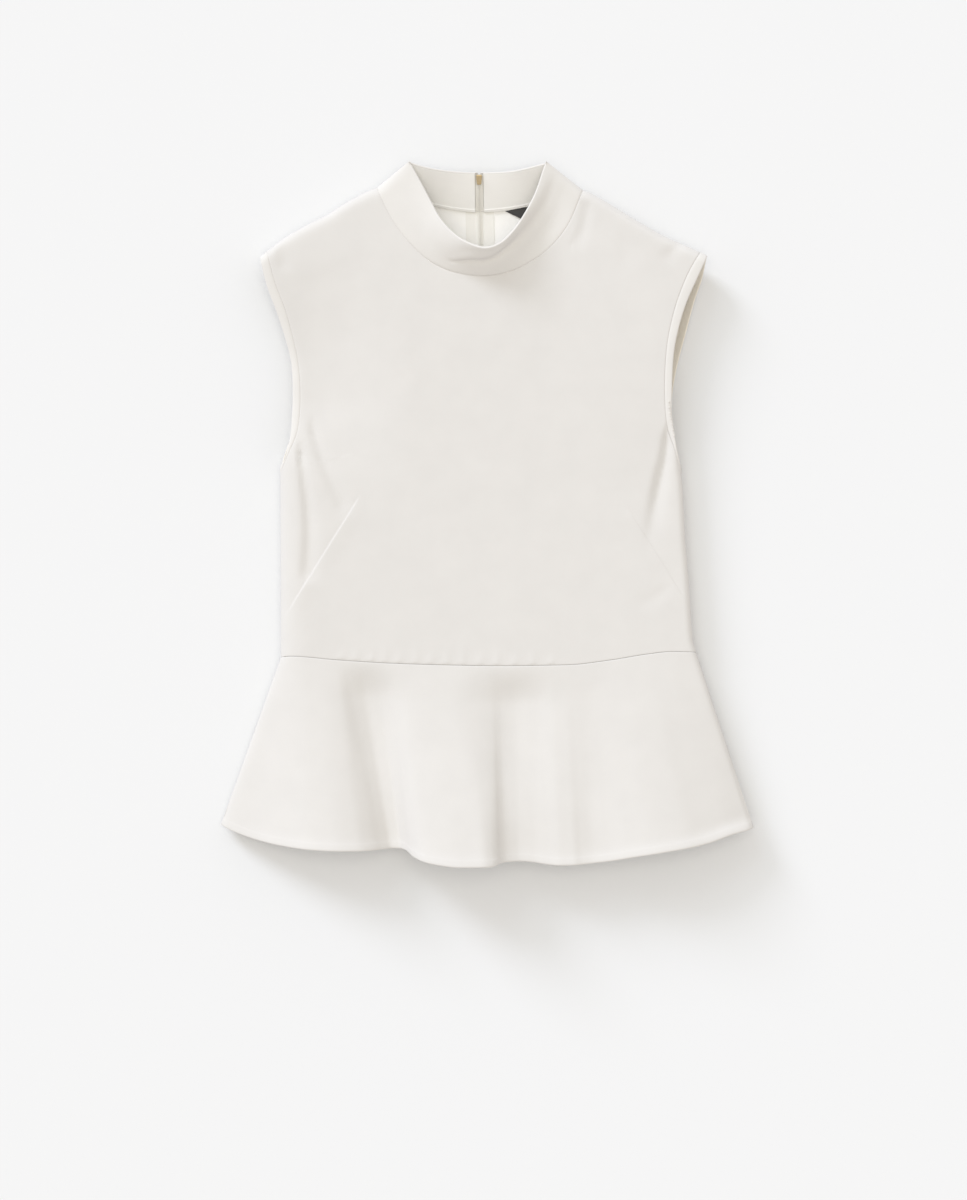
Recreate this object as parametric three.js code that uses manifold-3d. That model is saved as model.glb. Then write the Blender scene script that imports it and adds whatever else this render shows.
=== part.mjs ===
import * as THREE from "three";
import * as BufferGeometryUtils from "three/addons/utils/BufferGeometryUtils.js";
import Module from "manifold-3d";

// A sleeveless top with a stand collar, a zip down its back and a flared peplum. It lies on its
// back, and all sizes are in millimetres. The origin is on the surface that it lies on, below the
// middle of its outline. +Y runs to the collar, +X to the right of a person who looks down on the
// front, and +Z up. "Left" and "right" are that person's left and right.

// Cloth and seams
const WALL = 1.5;
const BAND_WALL = 2.2;
const COLLAR_WALL = 2.4;
const COLLAR_SINGLE_WALL = 1.2;
const HEM_WALL = 2.6;
const HEM_DEPTH = 6.5;
const SEAM_GAP = 0.3;
const BAND_GAP = 0.36;
const TAPE_WALL = 1.0;
const LABEL_WALL = 1.0;
const LABEL_GAP = 0.7;

// How high the top lies: the middle of the front, more on the raised right chest, and its sides,
// which rise from the height at the waist to that of each shoulder
const FRONT_HEIGHT = 25.5;
const RIGHT_CHEST = { lift: 3.5, fromX: 40, toX: 165, fromY: 20, toY: 150 };
const SIDE_HEIGHT = 12;
const LEFT_SHOULDER_HEIGHT = 14;
const RIGHT_SHOULDER_HEIGHT = 18;
const SIDE_RISE = { fromY: 60, toY: 230 };
const SHOULDER_RISE = { fromX: 70, toX: 190 };

// How far in from the outline the cloth takes to roll over its edge
const FRONT_SIDE_ROLL = 34;
const FRONT_SHOULDER_ROLL = 30;
const BACK_SIDE_ROLL = 20;
const BACK_SHOULDER_ROLL = 26;
const SHOULDER_SLOPE = THREE.MathUtils.degToRad(30);

// The centre back line, at the collar's top edge and at the waist
const CENTRE_BACK_TOP = { x: -7.2, y: 309 };
const CENTRE_BACK_WAIST = { x: 1.2, y: -130 };

// The outline at the sides. Above the underarm it is the line that the roll of the cloth would
// reach if the armhole weren't cut out of it.
const UNDERARM_SEAM_Y = 37;
const LEFT_OUTLINE = [
  { y: -130, x: -186.3 },
  { y: -67, x: -186.3 },
  { y: 25, x: -186.7 },
  { y: 85, x: -186.7 },
  { y: 130, x: -186.4 },
  { y: 159, x: -192.4 },
  { y: 191, x: -202.9 },
  { y: 222, x: -213.6 },
  { y: 245, x: -219 },
];
const RIGHT_OUTLINE = [
  { y: -124, x: 188.7 },
  { y: -113, x: 185.8 },
  { y: -67, x: 182.6 },
  { y: -21, x: 178.9 },
  { y: 25, x: 176.5 },
  { y: 48, x: 174.6 },
  { y: 75, x: 176 },
  { y: 102, x: 179 },
  { y: 130, x: 181 },
  { y: 160, x: 185 },
  { y: 190, x: 193 },
  { y: 220, x: 206 },
  { y: 245, x: 214 },
];

// The outline at the shoulders, and its line across the open neck
const SHOULDER_OUTLINE = [
  { x: -222, y: 220 },
  { x: -205.1, y: 232 },
  { x: -184, y: 248.4 },
  { x: -164.4, y: 260.1 },
  { x: -144.7, y: 270 },
  { x: -129.2, y: 279.8 },
  { x: -113.4, y: 288.6 },
  { x: -99.7, y: 294.4 },
  { x: -60, y: 300 },
  { x: 46, y: 300 },
  { x: 86.8, y: 292.4 },
  { x: 101.5, y: 285.5 },
  { x: 121.1, y: 273.6 },
  { x: 140.6, y: 261.7 },
  { x: 160.2, y: 250.8 },
  { x: 179.6, y: 242 },
  { x: 198.9, y: 233.1 },
  { x: 216, y: 224 },
];
const NECK_POINT_X = { left: -99.7, right: 86.8 };
// The columns of the bodice that start at the neck points end here at the waist
const WAIST_BELOW_NECK_X = { left: -104, right: 95 };

// The armholes: the outer edge of the band, and the seam that joins the band to the cloth
const ARMHOLES = {
  left: {
    front: [
      { edgeX: -186.5, edgeY: 45, seamX: -186.7, seamY: UNDERARM_SEAM_Y },
      { edgeX: -183.8, edgeY: 47.5, seamX: -184.6, seamY: 42 },
      { edgeX: -180.1, edgeY: 58.5, seamX: -179, seamY: 54.5 },
      { edgeX: -177.9, edgeY: 69.3, seamX: -171.8, seamY: 72 },
      { edgeX: -176.3, edgeY: 88, seamX: -169.2, seamY: 88 },
      { edgeX: -175.6, edgeY: 116, seamX: -168.6, seamY: 116 },
      { edgeX: -177.4, edgeY: 139, seamX: -170.8, seamY: 139 },
      { edgeX: -182.4, edgeY: 158.8, seamX: -175.5, seamY: 161.5 },
      { edgeX: -189.6, edgeY: 181.5, seamX: -181.5, seamY: 183.5 },
      { edgeX: -198.6, edgeY: 206, seamX: -190.6, seamY: 208 },
      { edgeX: -205, edgeY: 232.1, seamX: -198.4, seamY: 237.4 },
    ],
    back: [
      { edgeX: -205, edgeY: 232.1, seamX: -198.4, seamY: 237.4 },
      { edgeX: -196.6, edgeY: 206, seamX: -189.2, seamY: 208 },
      { edgeX: -186, edgeY: 178, seamX: -178.6, seamY: 180 },
      { edgeX: -178.2, edgeY: 152, seamX: -170.6, seamY: 153 },
      { edgeX: -174, edgeY: 122, seamX: -166.4, seamY: 122 },
      { edgeX: -175, edgeY: 92, seamX: -167.4, seamY: 91 },
      { edgeX: -179.4, edgeY: 68, seamX: -172.6, seamY: 65 },
      { edgeX: -184, edgeY: 54, seamX: -180.6, seamY: 47 },
      { edgeX: -186.5, edgeY: 45, seamX: -186.7, seamY: UNDERARM_SEAM_Y },
    ],
  },
  right: {
    front: [
      { edgeX: 174.8, edgeY: 45, seamX: 175.4, seamY: UNDERARM_SEAM_Y },
      { edgeX: 173.4, edgeY: 49.5, seamX: 173.6, seamY: 43 },
      { edgeX: 171, edgeY: 60, seamX: 169.4, seamY: 57 },
      { edgeX: 168.6, edgeY: 72, seamX: 163, seamY: 75 },
      { edgeX: 166.4, edgeY: 90, seamX: 160.6, seamY: 91 },
      { edgeX: 166.4, edgeY: 115.8, seamX: 159.7, seamY: 116 },
      { edgeX: 168.1, edgeY: 144.5, seamX: 161.1, seamY: 146 },
      { edgeX: 171.8, edgeY: 165, seamX: 164.4, seamY: 167 },
      { edgeX: 178.9, edgeY: 188.7, seamX: 171, seamY: 192 },
      { edgeX: 190, edgeY: 214, seamX: 181, seamY: 217 },
      { edgeX: 198.9, edgeY: 233.1, seamX: 192, seamY: 236.4 },
    ],
    back: [
      { edgeX: 198.9, edgeY: 233.1, seamX: 192, seamY: 236.4 },
      { edgeX: 195.6, edgeY: 214, seamX: 188, seamY: 216 },
      { edgeX: 188.8, edgeY: 194, seamX: 181.4, seamY: 196 },
      { edgeX: 180.4, edgeY: 163, seamX: 172.8, seamY: 165 },
      { edgeX: 172.6, edgeY: 133, seamX: 165, seamY: 134.5 },
      { edgeX: 167.8, edgeY: 102, seamX: 160.2, seamY: 102 },
      { edgeX: 168.4, edgeY: 75, seamX: 161, seamY: 72.5 },
      { edgeX: 172, edgeY: 56, seamX: 168.2, seamY: 50 },
      { edgeX: 174.8, edgeY: 45, seamX: 175.4, seamY: UNDERARM_SEAM_Y },
    ],
  },
};

// The waist seam, front and back
const WAIST_FRONT = [
  { x: -186.3, y: -128.6 },
  { x: -176.7, y: -127.8 },
  { x: -133, y: -131.2 },
  { x: -89.5, y: -133.9 },
  { x: -41.4, y: -135.5 },
  { x: 9.1, y: -136.3 },
  { x: 72.1, y: -135.5 },
  { x: 110.8, y: -131.2 },
  { x: 144.5, y: -125.8 },
  { x: 166.5, y: -123.6 },
  { x: 188.7, y: -124 },
];
const WAIST_BACK = [
  { x: -186.3, y: -128.6 },
  { x: -90, y: -131 },
  { x: CENTRE_BACK_WAIST.x, y: CENTRE_BACK_WAIST.y },
  { x: 95, y: -129 },
  { x: 188.7, y: -124 },
];

// The neck seam, from the left neck point round the front to the right one, and round the back
const NECK_FRONT = [
  { x: -99.7, y: 294.4 },
  { x: -87.5, y: 268.8 },
  { x: -74, y: 248.9 },
  { x: -56, y: 230.7 },
  { x: -39.6, y: 221 },
  { x: -24.7, y: 216.5 },
  { x: -3.8, y: 214.3 },
  { x: 17, y: 217.2 },
  { x: 35, y: 224.7 },
  { x: 54.4, y: 238.1 },
  { x: 72.3, y: 259.3 },
  { x: 86.8, y: 292.4 },
];
const NECK_BACK_Y = 275.4;
const NECK_BACK_LEFT = [
  { x: -99.7, y: 294.4 },
  { x: -75, y: 287.5 },
  { x: -48.9, y: 281.7 },
  { x: -30.9, y: 278.1 },
  { x: centreBackX(NECK_BACK_Y), y: NECK_BACK_Y },
];
const NECK_BACK_RIGHT = [
  { x: centreBackX(NECK_BACK_Y), y: NECK_BACK_Y },
  { x: 20.3, y: 278.1 },
  { x: 35.3, y: 281 },
  { x: 62, y: 286.5 },
  { x: 86.8, y: 292.4 },
];

// The collar's folded top edge, from the left peak round the front to the right one, and the back
const COLLAR_TOP_FRONT = [
  { x: -70.1, y: 316.6, z: 30 },
  { x: -68.4, y: 313.4, z: 34 },
  { x: -60.2, y: 299, z: 38 },
  { x: -49.1, y: 276.3, z: 45 },
  { x: -42.2, y: 263.2, z: 48 },
  { x: -30.3, y: 249.6, z: 51 },
  { x: -18.7, y: 241.2, z: 53 },
  { x: -0.9, y: 235.9, z: 54 },
  { x: 12.5, y: 240.5, z: 53 },
  { x: 24.2, y: 252.5, z: 51 },
  { x: 34.6, y: 269.3, z: 47 },
  { x: 43.6, y: 288, z: 41 },
  { x: 51.8, y: 313, z: 34.4 },
  { x: 53.6, y: 316.5, z: 30 },
];
const COLLAR_TOP_BACK_LEFT = [
  { x: -70.1, y: 316.6, z: 30 },
  { x: -66.6, y: 316.2, z: 26.2 },
  { x: -51.3, y: 312.6, z: 23 },
  { x: -30.7, y: 310.2, z: 18 },
  { x: -7.2, y: 309.2, z: 15 },
];
const COLLAR_TOP_BACK_RIGHT = [
  { x: -7.2, y: 309.2, z: 15 },
  { x: 20.2, y: 310.2, z: 18 },
  { x: 35, y: 312.3, z: 23 },
  { x: 50, y: 315.8, z: 26.2 },
  { x: 53.6, y: 316.5, z: 30 },
];
const COLLAR_BULGE = 1.8;
// The soft dent in the collar's front right: where it starts and ends along the front, from 0 at
// the left neck point to 1 at the right one, and its depth
const COLLAR_DENT = { from: 0.42, to: 0.97, depth: 5 };
// Beside the zip the collar is a single layer, and its inner layer ends at the tape
const ZIP_SLOT = 0.8;
const COLLAR_LAYER_END = 3.7;

// The zip's tapes run from the peplum up the centre back, and narrow inside the collar
const TAPE_BOTTOM_Y = -190;
const TAPE_WIDTH = 12.8;
const TAPE_COLLAR_WIDTH = 3.1;
const TAPE_SHOULDER = { fromY: 271.5, toY: 274 };
const TAPE_ROW_SPACING = 45;
const TAPE_COLLAR_SHARES = [0.1, 0.5, 0.95];

// The slider, in its own frame: x across, y up the collar, z into the neck from the collar's
// outer face. Its fin goes out through the slot and has the eye that the pull tab turns in.
const SLIDER_DISTANCE = 31;
const SLIDER_BODY = { length: 9, topWidth: 5.4, bottomWidth: 4, thickness: 2.2, corner: 0.9, bevel: 0.4 };
const FIN = { thickness: 0.9, length: 3.4, rootDepth: 0.5, eyeReach: 1.7, eyeRadius: 0.95 };
const PULL = {
  length: 17.5,
  topWidth: 4.6,
  bottomWidth: 6,
  thickness: 1,
  barRadius: 0.5,
  windowWidth: 1.8,
  windowLength: 3.1,
  corner: 1.4,
};
// The pull tab hangs down from its eye until it all but touches what the top lies on
const PULL_REST_ANGLE = THREE.MathUtils.degToRad(11);

// The neck label, caught by one corner in the back neck seam
const LABEL_CORNERS = [
  { x: 16.8, y: 275.9 },
  { x: 50.4, y: 259.9 },
  { x: 56.6, y: 272.4 },
  { x: 35.5, y: 280 },
];
const LABEL_STEPS = 4;

// Darts and soft creases in the front: a line, the depth of the cloth beside it, and its width.
// Each one fades in and out along its line, and all of them end at the roll of the sides.
const DARTS = [
  { tipX: -114.2, tipY: 17.3, seamX: -186, seamY: -91, depth: 2.2, width: 26 },
  { tipX: 127.8, tipY: 3.8, seamX: 184, seamY: -82, depth: 1.4, width: 22 },
];
const DART_FADE = { in: 0.35, outFrom: 0.8, outTo: 1.1 };
const DART_EDGE = 3;
const CREASES = [
  { fromX: -171, fromY: 58, toX: -163, toY: -62, depth: 1.8, width: 10 },
  { fromX: -160, fromY: 76, toX: -128, toY: 4, depth: 1.4, width: 12 },
  { fromX: 162, fromY: 75, toX: 147, toY: -18, depth: 1.4, width: 12 },
];
const CREASE_FADE = { inFrom: -0.1, inTo: 0.3, outFrom: 0.6, outTo: 1.1 };
const SMOOTH_EDGE = { from: 2, to: 16 };

// The peplum's folds: each row runs straight from a point on the waist seam to one on the hem
const PEPLUM_FRONT_FOLDS = [
  { waistX: -186.3, hemX: -241, hemY: -280.4, hemZ: 16 },
  { waistX: -184.6, hemX: -237.6, hemY: -282.6, hemZ: 21.5 },
  { waistX: -179, hemX: -216, hemY: -291, hemZ: 34 },
  { waistX: -171, hemX: -185, hemY: -297.8, hemZ: 45.5 },
  { waistX: -163, hemX: -160, hemY: -300.7, hemZ: 47.5 },
  { waistX: -154, hemX: -135, hemY: -301.7, hemZ: 43.5 },
  { waistX: -145, hemX: -110, hemY: -301.5, hemZ: 35 },
  { waistX: -134, hemX: -90, hemY: -300.4, hemZ: 29 },
  { waistX: -108, hemX: -77.5, hemY: -300.6, hemZ: 30 },
  { waistX: -99, hemX: -71.5, hemY: -302.4, hemZ: 39 },
  { waistX: -90, hemX: -66, hemY: -307.5, hemZ: 50.5 },
  { waistX: -76, hemX: -50, hemY: -311.8, hemZ: 56 },
  { waistX: -45, hemX: -18, hemY: -315.1, hemZ: 58 },
  { waistX: -14, hemX: 0, hemY: -315, hemZ: 57.5 },
  { waistX: 2, hemX: 8.6, hemY: -314.2, hemZ: 54.5 },
  { waistX: 7, hemX: 12, hemY: -312.2, hemZ: 43 },
  { waistX: 12, hemX: 15.4, hemY: -311.7, hemZ: 33 },
  { waistX: 22, hemX: 26, hemY: -311.2, hemZ: 34 },
  { waistX: 33, hemX: 39, hemY: -311, hemZ: 41 },
  { waistX: 40, hemX: 45.5, hemY: -313, hemZ: 50.5 },
  { waistX: 51, hemX: 60, hemY: -313.5, hemZ: 55.5 },
  { waistX: 68, hemX: 78, hemY: -312.4, hemZ: 51 },
  { waistX: 82, hemX: 91, hemY: -311.4, hemZ: 49 },
  { waistX: 104, hemX: 126, hemY: -304.5, hemZ: 53 },
  { waistX: 126, hemX: 160, hemY: -300.8, hemZ: 48 },
  { waistX: 149, hemX: 193, hemY: -295, hemZ: 39.5 },
  { waistX: 172, hemX: 222, hemY: -286.5, hemZ: 31 },
  { waistX: 186, hemX: 237, hemY: -283.2, hemZ: 25.5 },
  { waistX: 188.7, hemX: 240.5, hemY: -282.4, hemZ: 21 },
];
const PEPLUM_BACK_LEFT_FOLDS = [
  { waistX: -186.3, hemX: -241, hemY: -280.4, hemZ: 16 },
  { waistX: -184, hemX: -237.4, hemY: -281.4, hemZ: 8 },
  { waistX: -177, hemX: -225, hemY: -284.6, hemZ: 1.5 },
  { waistX: -166, hemX: -206, hemY: -287.6, hemZ: 0 },
  { waistX: -140, hemX: -166, hemY: -291.4, hemZ: 0 },
  { waistX: -126, hemX: -143, hemY: -292.4, hemZ: 5 },
  { waistX: -112, hemX: -123, hemY: -293, hemZ: 11.5 },
  { waistX: -98, hemX: -103, hemY: -293.8, hemZ: 5 },
  { waistX: -84, hemX: -82, hemY: -294.6, hemZ: 0 },
  { waistX: -40, hemX: -36, hemY: -297, hemZ: 0 },
  { waistX: 1.2, hemX: 3, hemY: -298, hemZ: 0 },
];
const PEPLUM_BACK_RIGHT_FOLDS = [
  { waistX: 1.2, hemX: 3, hemY: -298, hemZ: 0 },
  { waistX: 34, hemX: 38, hemY: -297.4, hemZ: 0 },
  { waistX: 58, hemX: 62, hemY: -296.8, hemZ: 0 },
  { waistX: 72, hemX: 82, hemY: -296, hemZ: 7 },
  { waistX: 86, hemX: 101, hemY: -295, hemZ: 13.5 },
  { waistX: 100, hemX: 121, hemY: -293.8, hemZ: 7 },
  { waistX: 116, hemX: 142, hemY: -292.4, hemZ: 0 },
  { waistX: 146, hemX: 180, hemY: -289.4, hemZ: 0 },
  { waistX: 168, hemX: 209, hemY: -286.4, hemZ: 0 },
  { waistX: 180, hemX: 226, hemY: -284.4, hemZ: 2.5 },
  { waistX: 186.4, hemX: 237, hemY: -283.2, hemZ: 11 },
  { waistX: 188.7, hemX: 240.5, hemY: -282.4, hemZ: 21 },
];
// The folds grow a little faster than in proportion to the distance from the waist seam
const FOLD_GROWTH = 1.25;
// The hem's turned-up edge shows as a step in the wall, over this share of the panel's length
const HEM_STEP = 0.004;

// Where the rows and columns of the panels lie, as shares of each stretch. They crowd together
// towards the outline, where the cloth rolls over.
const SIDE_SHARES = [0, 0.012, 0.045, 0.11, 0.21, 0.36, 0.6, 1];
const BACK_SIDE_SHARES = [0, 0.014, 0.05, 0.115, 0.21, 0.45, 1];
const ARMHOLE_SHARES = [0, 0.018, 0.042, 0.075, 0.12, 0.18, 0.27, 0.39, 0.52, 0.65, 0.77, 0.87, 0.94, 0.98, 1];
const HALF_NECK_SHARES = [0, 0.012, 0.036, 0.08, 0.14, 0.2, 0.26, 0.32, 0.38, 0.44];
const NECK_FRONT_SHARES = [...HALF_NECK_SHARES, 0.5, ...HALF_NECK_SHARES.map((share) => 1 - share).reverse()];
const NECK_BACK_SHARES = [0, 0.03, 0.08, 0.17, 0.32, 0.54, 0.77, 1];
const SIDE_SEAM_ROWS = 6;
const PEPLUM_ROW_SHARES = [0, 0.12, 0.28, 0.46, 0.64, 0.82];
const COLUMNS_PER_FOLD = 2;
const COLLAR_ROW_SHARES = [0, 0.12, 0.32, 0.52, 0.72, 0.88, 1];
const SAME_PLACE = 0.01;

// Value of a smooth curve through the rows of a table, without overshoot between them
function tableValue(rows, atKey, valueKey, at) {
  const last = rows.length - 1;
  if (at <= rows[0][atKey]) return rows[0][valueKey];
  if (at >= rows[last][atKey]) return rows[last][valueKey];
  const slopes = [];
  for (let i = 0; i < last; i += 1) {
    const run = rows[i + 1][atKey] - rows[i][atKey];
    slopes.push((rows[i + 1][valueKey] - rows[i][valueKey]) / run);
  }
  const tangentAt = (i) => {
    if (i === 0) return slopes[0];
    if (i === last) return slopes[last - 1];
    if (slopes[i - 1] * slopes[i] <= 0) return 0;
    return (2 * slopes[i - 1] * slopes[i]) / (slopes[i - 1] + slopes[i]);
  };
  let i = 0;
  while (at > rows[i + 1][atKey]) i += 1;
  const run = rows[i + 1][atKey] - rows[i][atKey];
  const t = (at - rows[i][atKey]) / run;
  const start = rows[i][valueKey] * (1 + 2 * t) * (1 - t) ** 2;
  const end = rows[i + 1][valueKey] * t * t * (3 - 2 * t);
  const bend = run * (tangentAt(i) * t * (1 - t) ** 2 - tangentAt(i + 1) * t * t * (1 - t));
  return start + end + bend;
}

function curveThrough(points) {
  const vectors = points.map((point) => new THREE.Vector3(point.x, point.y, point.z ?? 0));
  return new THREE.CatmullRomCurve3(vectors, false, "centripetal");
}

function pointsAlong(table, shares) {
  const curve = curveThrough(table);
  return shares.map((share) => curve.getPointAt(share));
}

function smoothRamp(value, from, to) {
  return THREE.MathUtils.smoothstep(value, from, to);
}

function centreBackX(y) {
  const share = (y - CENTRE_BACK_WAIST.y) / (CENTRE_BACK_TOP.y - CENTRE_BACK_WAIST.y);
  return THREE.MathUtils.lerp(CENTRE_BACK_WAIST.x, CENTRE_BACK_TOP.x, share);
}

// How far the cloth has risen, from 0 at its outline to 1 where the roll ends: a quarter ellipse
function roll(distance, width) {
  const inward = THREE.MathUtils.clamp(distance / width, 0, 1);
  return Math.sqrt(1 - (1 - inward) ** 2);
}

function outlineDistances(x, y) {
  return {
    left: x - tableValue(LEFT_OUTLINE, "y", "x", y),
    right: tableValue(RIGHT_OUTLINE, "y", "x", y) - x,
    shoulder: (tableValue(SHOULDER_OUTLINE, "x", "y", x) - y) * Math.cos(SHOULDER_SLOPE),
  };
}

function outlineHeight(x, y) {
  const rightShare = smoothRamp(x, SHOULDER_RISE.fromX, SHOULDER_RISE.toX);
  const shoulders = THREE.MathUtils.lerp(LEFT_SHOULDER_HEIGHT, RIGHT_SHOULDER_HEIGHT, rightShare);
  return THREE.MathUtils.lerp(SIDE_HEIGHT, shoulders, smoothRamp(y, SIDE_RISE.fromY, SIDE_RISE.toY));
}

function creaseDepth(x, y) {
  let depth = 0;
  for (const crease of CREASES) {
    const run = new THREE.Vector2(crease.toX - crease.fromX, crease.toY - crease.fromY);
    const offset = new THREE.Vector2(x - crease.fromX, y - crease.fromY);
    const along = offset.dot(run) / run.lengthSq();
    const aside = offset.cross(run) / run.length();
    const fadeIn = smoothRamp(along, CREASE_FADE.inFrom, CREASE_FADE.inTo);
    const fade = fadeIn * (1 - smoothRamp(along, CREASE_FADE.outFrom, CREASE_FADE.outTo));
    depth += crease.depth * fade * Math.exp(-((aside / crease.width) ** 2));
  }
  return depth;
}

// Below a dart's line the cloth lies lower, and it comes up again away from the line
function dartDepth(x, y) {
  let depth = 0;
  for (const dart of DARTS) {
    const run = new THREE.Vector2(dart.seamX - dart.tipX, dart.seamY - dart.tipY);
    const offset = new THREE.Vector2(x - dart.tipX, y - dart.tipY);
    const along = offset.dot(run) / run.lengthSq();
    const aside = (Math.sign(dart.tipX) * offset.cross(run)) / run.length();
    if (aside > 0) {
      const fadeOut = 1 - smoothRamp(along, DART_FADE.outFrom, DART_FADE.outTo);
      const fade = smoothRamp(along, 0, DART_FADE.in) * fadeOut;
      depth += dart.depth * fade * (1 - smoothRamp(aside, DART_EDGE, dart.width));
    }
  }
  return depth;
}

function frontHeight(x, y) {
  const distances = outlineDistances(x, y);
  const base = outlineHeight(x, y);
  const chest =
    smoothRamp(x, RIGHT_CHEST.fromX, RIGHT_CHEST.toX) * smoothRamp(y, RIGHT_CHEST.fromY, RIGHT_CHEST.toY);
  const top = FRONT_HEIGHT + RIGHT_CHEST.lift * chest;
  const rise =
    roll(distances.left, FRONT_SIDE_ROLL) *
    roll(distances.right, FRONT_SIDE_ROLL) *
    roll(distances.shoulder, FRONT_SHOULDER_ROLL);
  const clear = smoothRamp(Math.min(distances.left, distances.right), SMOOTH_EDGE.from, SMOOTH_EDGE.to);
  return base + (top - base) * rise - clear * (creaseDepth(x, y) + dartDepth(x, y));
}

function backHeight(x, y) {
  const distances = outlineDistances(x, y);
  const fall =
    roll(distances.left, BACK_SIDE_ROLL) *
    roll(distances.right, BACK_SIDE_ROLL) *
    roll(distances.shoulder, BACK_SHOULDER_ROLL);
  return outlineHeight(x, y) * (1 - fall);
}

// The front's outer face looks up, and the back's looks down to the surface that it lies on
const FRONT = { height: frontHeight, facing: 1 };
const BACK = { height: backHeight, facing: -1 };

function faceNormal(face, x, y) {
  const step = 0.05;
  const slopeX = (face.height(x + step, y) - face.height(x - step, y)) / (2 * step);
  const slopeY = (face.height(x, y + step) - face.height(x, y - step)) / (2 * step);
  return new THREE.Vector3(-slopeX, -slopeY, 1).normalize().multiplyScalar(face.facing);
}

function facePoint(face, x, y, wall) {
  const point = new THREE.Vector3(x, y, face.height(x, y));
  return { point, normal: faceNormal(face, x, y), wall };
}

// A point on the outline itself, where front and back meet and both walls stand level
function outlinePoint(x, y, outward, wall) {
  const point = new THREE.Vector3(x, y, outlineHeight(x, y));
  return { point, normal: new THREE.Vector3(outward.x, outward.y, 0).normalize(), wall };
}

function shoulderOutward(x) {
  const step = 0.5;
  const heightAt = (at) => tableValue(SHOULDER_OUTLINE, "x", "y", at);
  return { x: heightAt(x - step) - heightAt(x + step), y: 2 * step };
}

// One cloth wall. The rows hold { point, normal, wall }: the outer face runs through the points,
// the inner face lies one wall behind them, and strips close the open edges between the two.
function wallGeometry(rows, closedRound = false) {
  const rowCount = rows.length;
  const columnCount = rows[0].length;
  const flat = rows.flat();
  const positions = [];
  for (const { point } of flat) positions.push(point.x, point.y, point.z);
  for (const { point, normal, wall } of flat) {
    const inner = point.clone().addScaledVector(normal, -wall);
    positions.push(inner.x, inner.y, inner.z);
  }
  const quads = [];
  const lastRow = closedRound ? rowCount : rowCount - 1;
  for (let i = 0; i < lastRow; i += 1) {
    for (let j = 0; j < columnCount - 1; j += 1) {
      const here = i * columnCount + j;
      const next = ((i + 1) % rowCount) * columnCount + j;
      quads.push([here, here + 1, next + 1, next]);
    }
  }
  const middle = quads[Math.floor(quads.length / 2)];
  const across = flat[middle[1]].point.clone().sub(flat[middle[0]].point);
  const up = flat[middle[3]].point.clone().sub(flat[middle[0]].point);
  if (across.cross(up).dot(flat[middle[0]].normal) < 0) {
    for (const quad of quads) quad.reverse();
  }
  const corner = (index) => new THREE.Vector3().fromArray(positions, 3 * index);
  const indices = [];
  const addQuad = (a, b, c, d) => {
    // Cut along the shorter diagonal, so that two walls that meet at a seam are cut alike
    const straight = corner(a).distanceTo(corner(c)) <= corner(b).distanceTo(corner(d));
    indices.push(...(straight ? [a, b, c, a, c, d] : [a, b, d, b, c, d]));
  };
  const behind = flat.length;
  const openEdges = new Map();
  for (const [a, b, c, d] of quads) {
    addQuad(a, b, c, d);
    addQuad(d + behind, c + behind, b + behind, a + behind);
    for (const [from, to] of [[a, b], [b, c], [c, d], [d, a]]) {
      if (!openEdges.delete(`${to} ${from}`)) openEdges.set(`${from} ${to}`, [from, to]);
    }
  }
  for (const [from, to] of openEdges.values()) addQuad(to, from, from + behind, to + behind);
  const geometry = new THREE.BufferGeometry();
  geometry.setAttribute("position", new THREE.Float32BufferAttribute(positions, 3));
  geometry.setIndex(indices);
  return geometry;
}

// Draws one edge of a panel back from its seam line by half the gap
function drawBack(rows, side, amount = SEAM_GAP / 2) {
  const lastRow = rows.length - 1;
  const lastColumn = rows[0].length - 1;
  const pull = (edge, inside) => {
    const direction = inside.point.clone().sub(edge.point).normalize();
    edge.point.addScaledVector(direction, amount);
  };
  if (side === "bottom") rows[0].forEach((edge, j) => pull(edge, rows[1][j]));
  if (side === "top") rows[lastRow].forEach((edge, j) => pull(edge, rows[lastRow - 1][j]));
  if (side === "left") rows.forEach((row) => pull(row[0], row[1]));
  if (side === "right") rows.forEach((row) => pull(row[lastColumn], row[lastColumn - 1]));
}

// Plan positions inside four edges, blended from all of them
function blendedPlan({ bottom, top, left, right }) {
  const width = bottom[bottom.length - 1].x - bottom[0].x;
  const shares = bottom.map((point) => (point.x - bottom[0].x) / width);
  const lengths = [0];
  for (let i = 1; i < left.length; i += 1) {
    lengths.push(lengths[i - 1] + Math.hypot(left[i].x - left[i - 1].x, left[i].y - left[i - 1].y));
  }
  const total = lengths[lengths.length - 1];
  const blend = (key, i, j) => {
    const u = shares[j];
    const v = lengths[i] / total;
    const lastJ = bottom.length - 1;
    const edges =
      (1 - v) * bottom[j][key] + v * top[j][key] + (1 - u) * left[i][key] + u * right[i][key];
    const corners =
      (1 - u) * (1 - v) * bottom[0][key] +
      u * (1 - v) * bottom[lastJ][key] +
      (1 - u) * v * top[0][key] +
      u * v * top[lastJ][key];
    return edges - corners;
  };
  return left.map((_, i) => bottom.map((__, j) => ({ x: blend("x", i, j), y: blend("y", i, j) })));
}

function armholeLines(rows) {
  const edgeCurve = curveThrough(rows.map((row) => ({ x: row.edgeX, y: row.edgeY })));
  const seamCurve = curveThrough(rows.map((row) => ({ x: row.seamX, y: row.seamY })));
  return {
    edge: ARMHOLE_SHARES.map((share) => edgeCurve.getPointAt(share)),
    seam: ARMHOLE_SHARES.map((share) => seamCurve.getPointAt(share)),
  };
}

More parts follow.
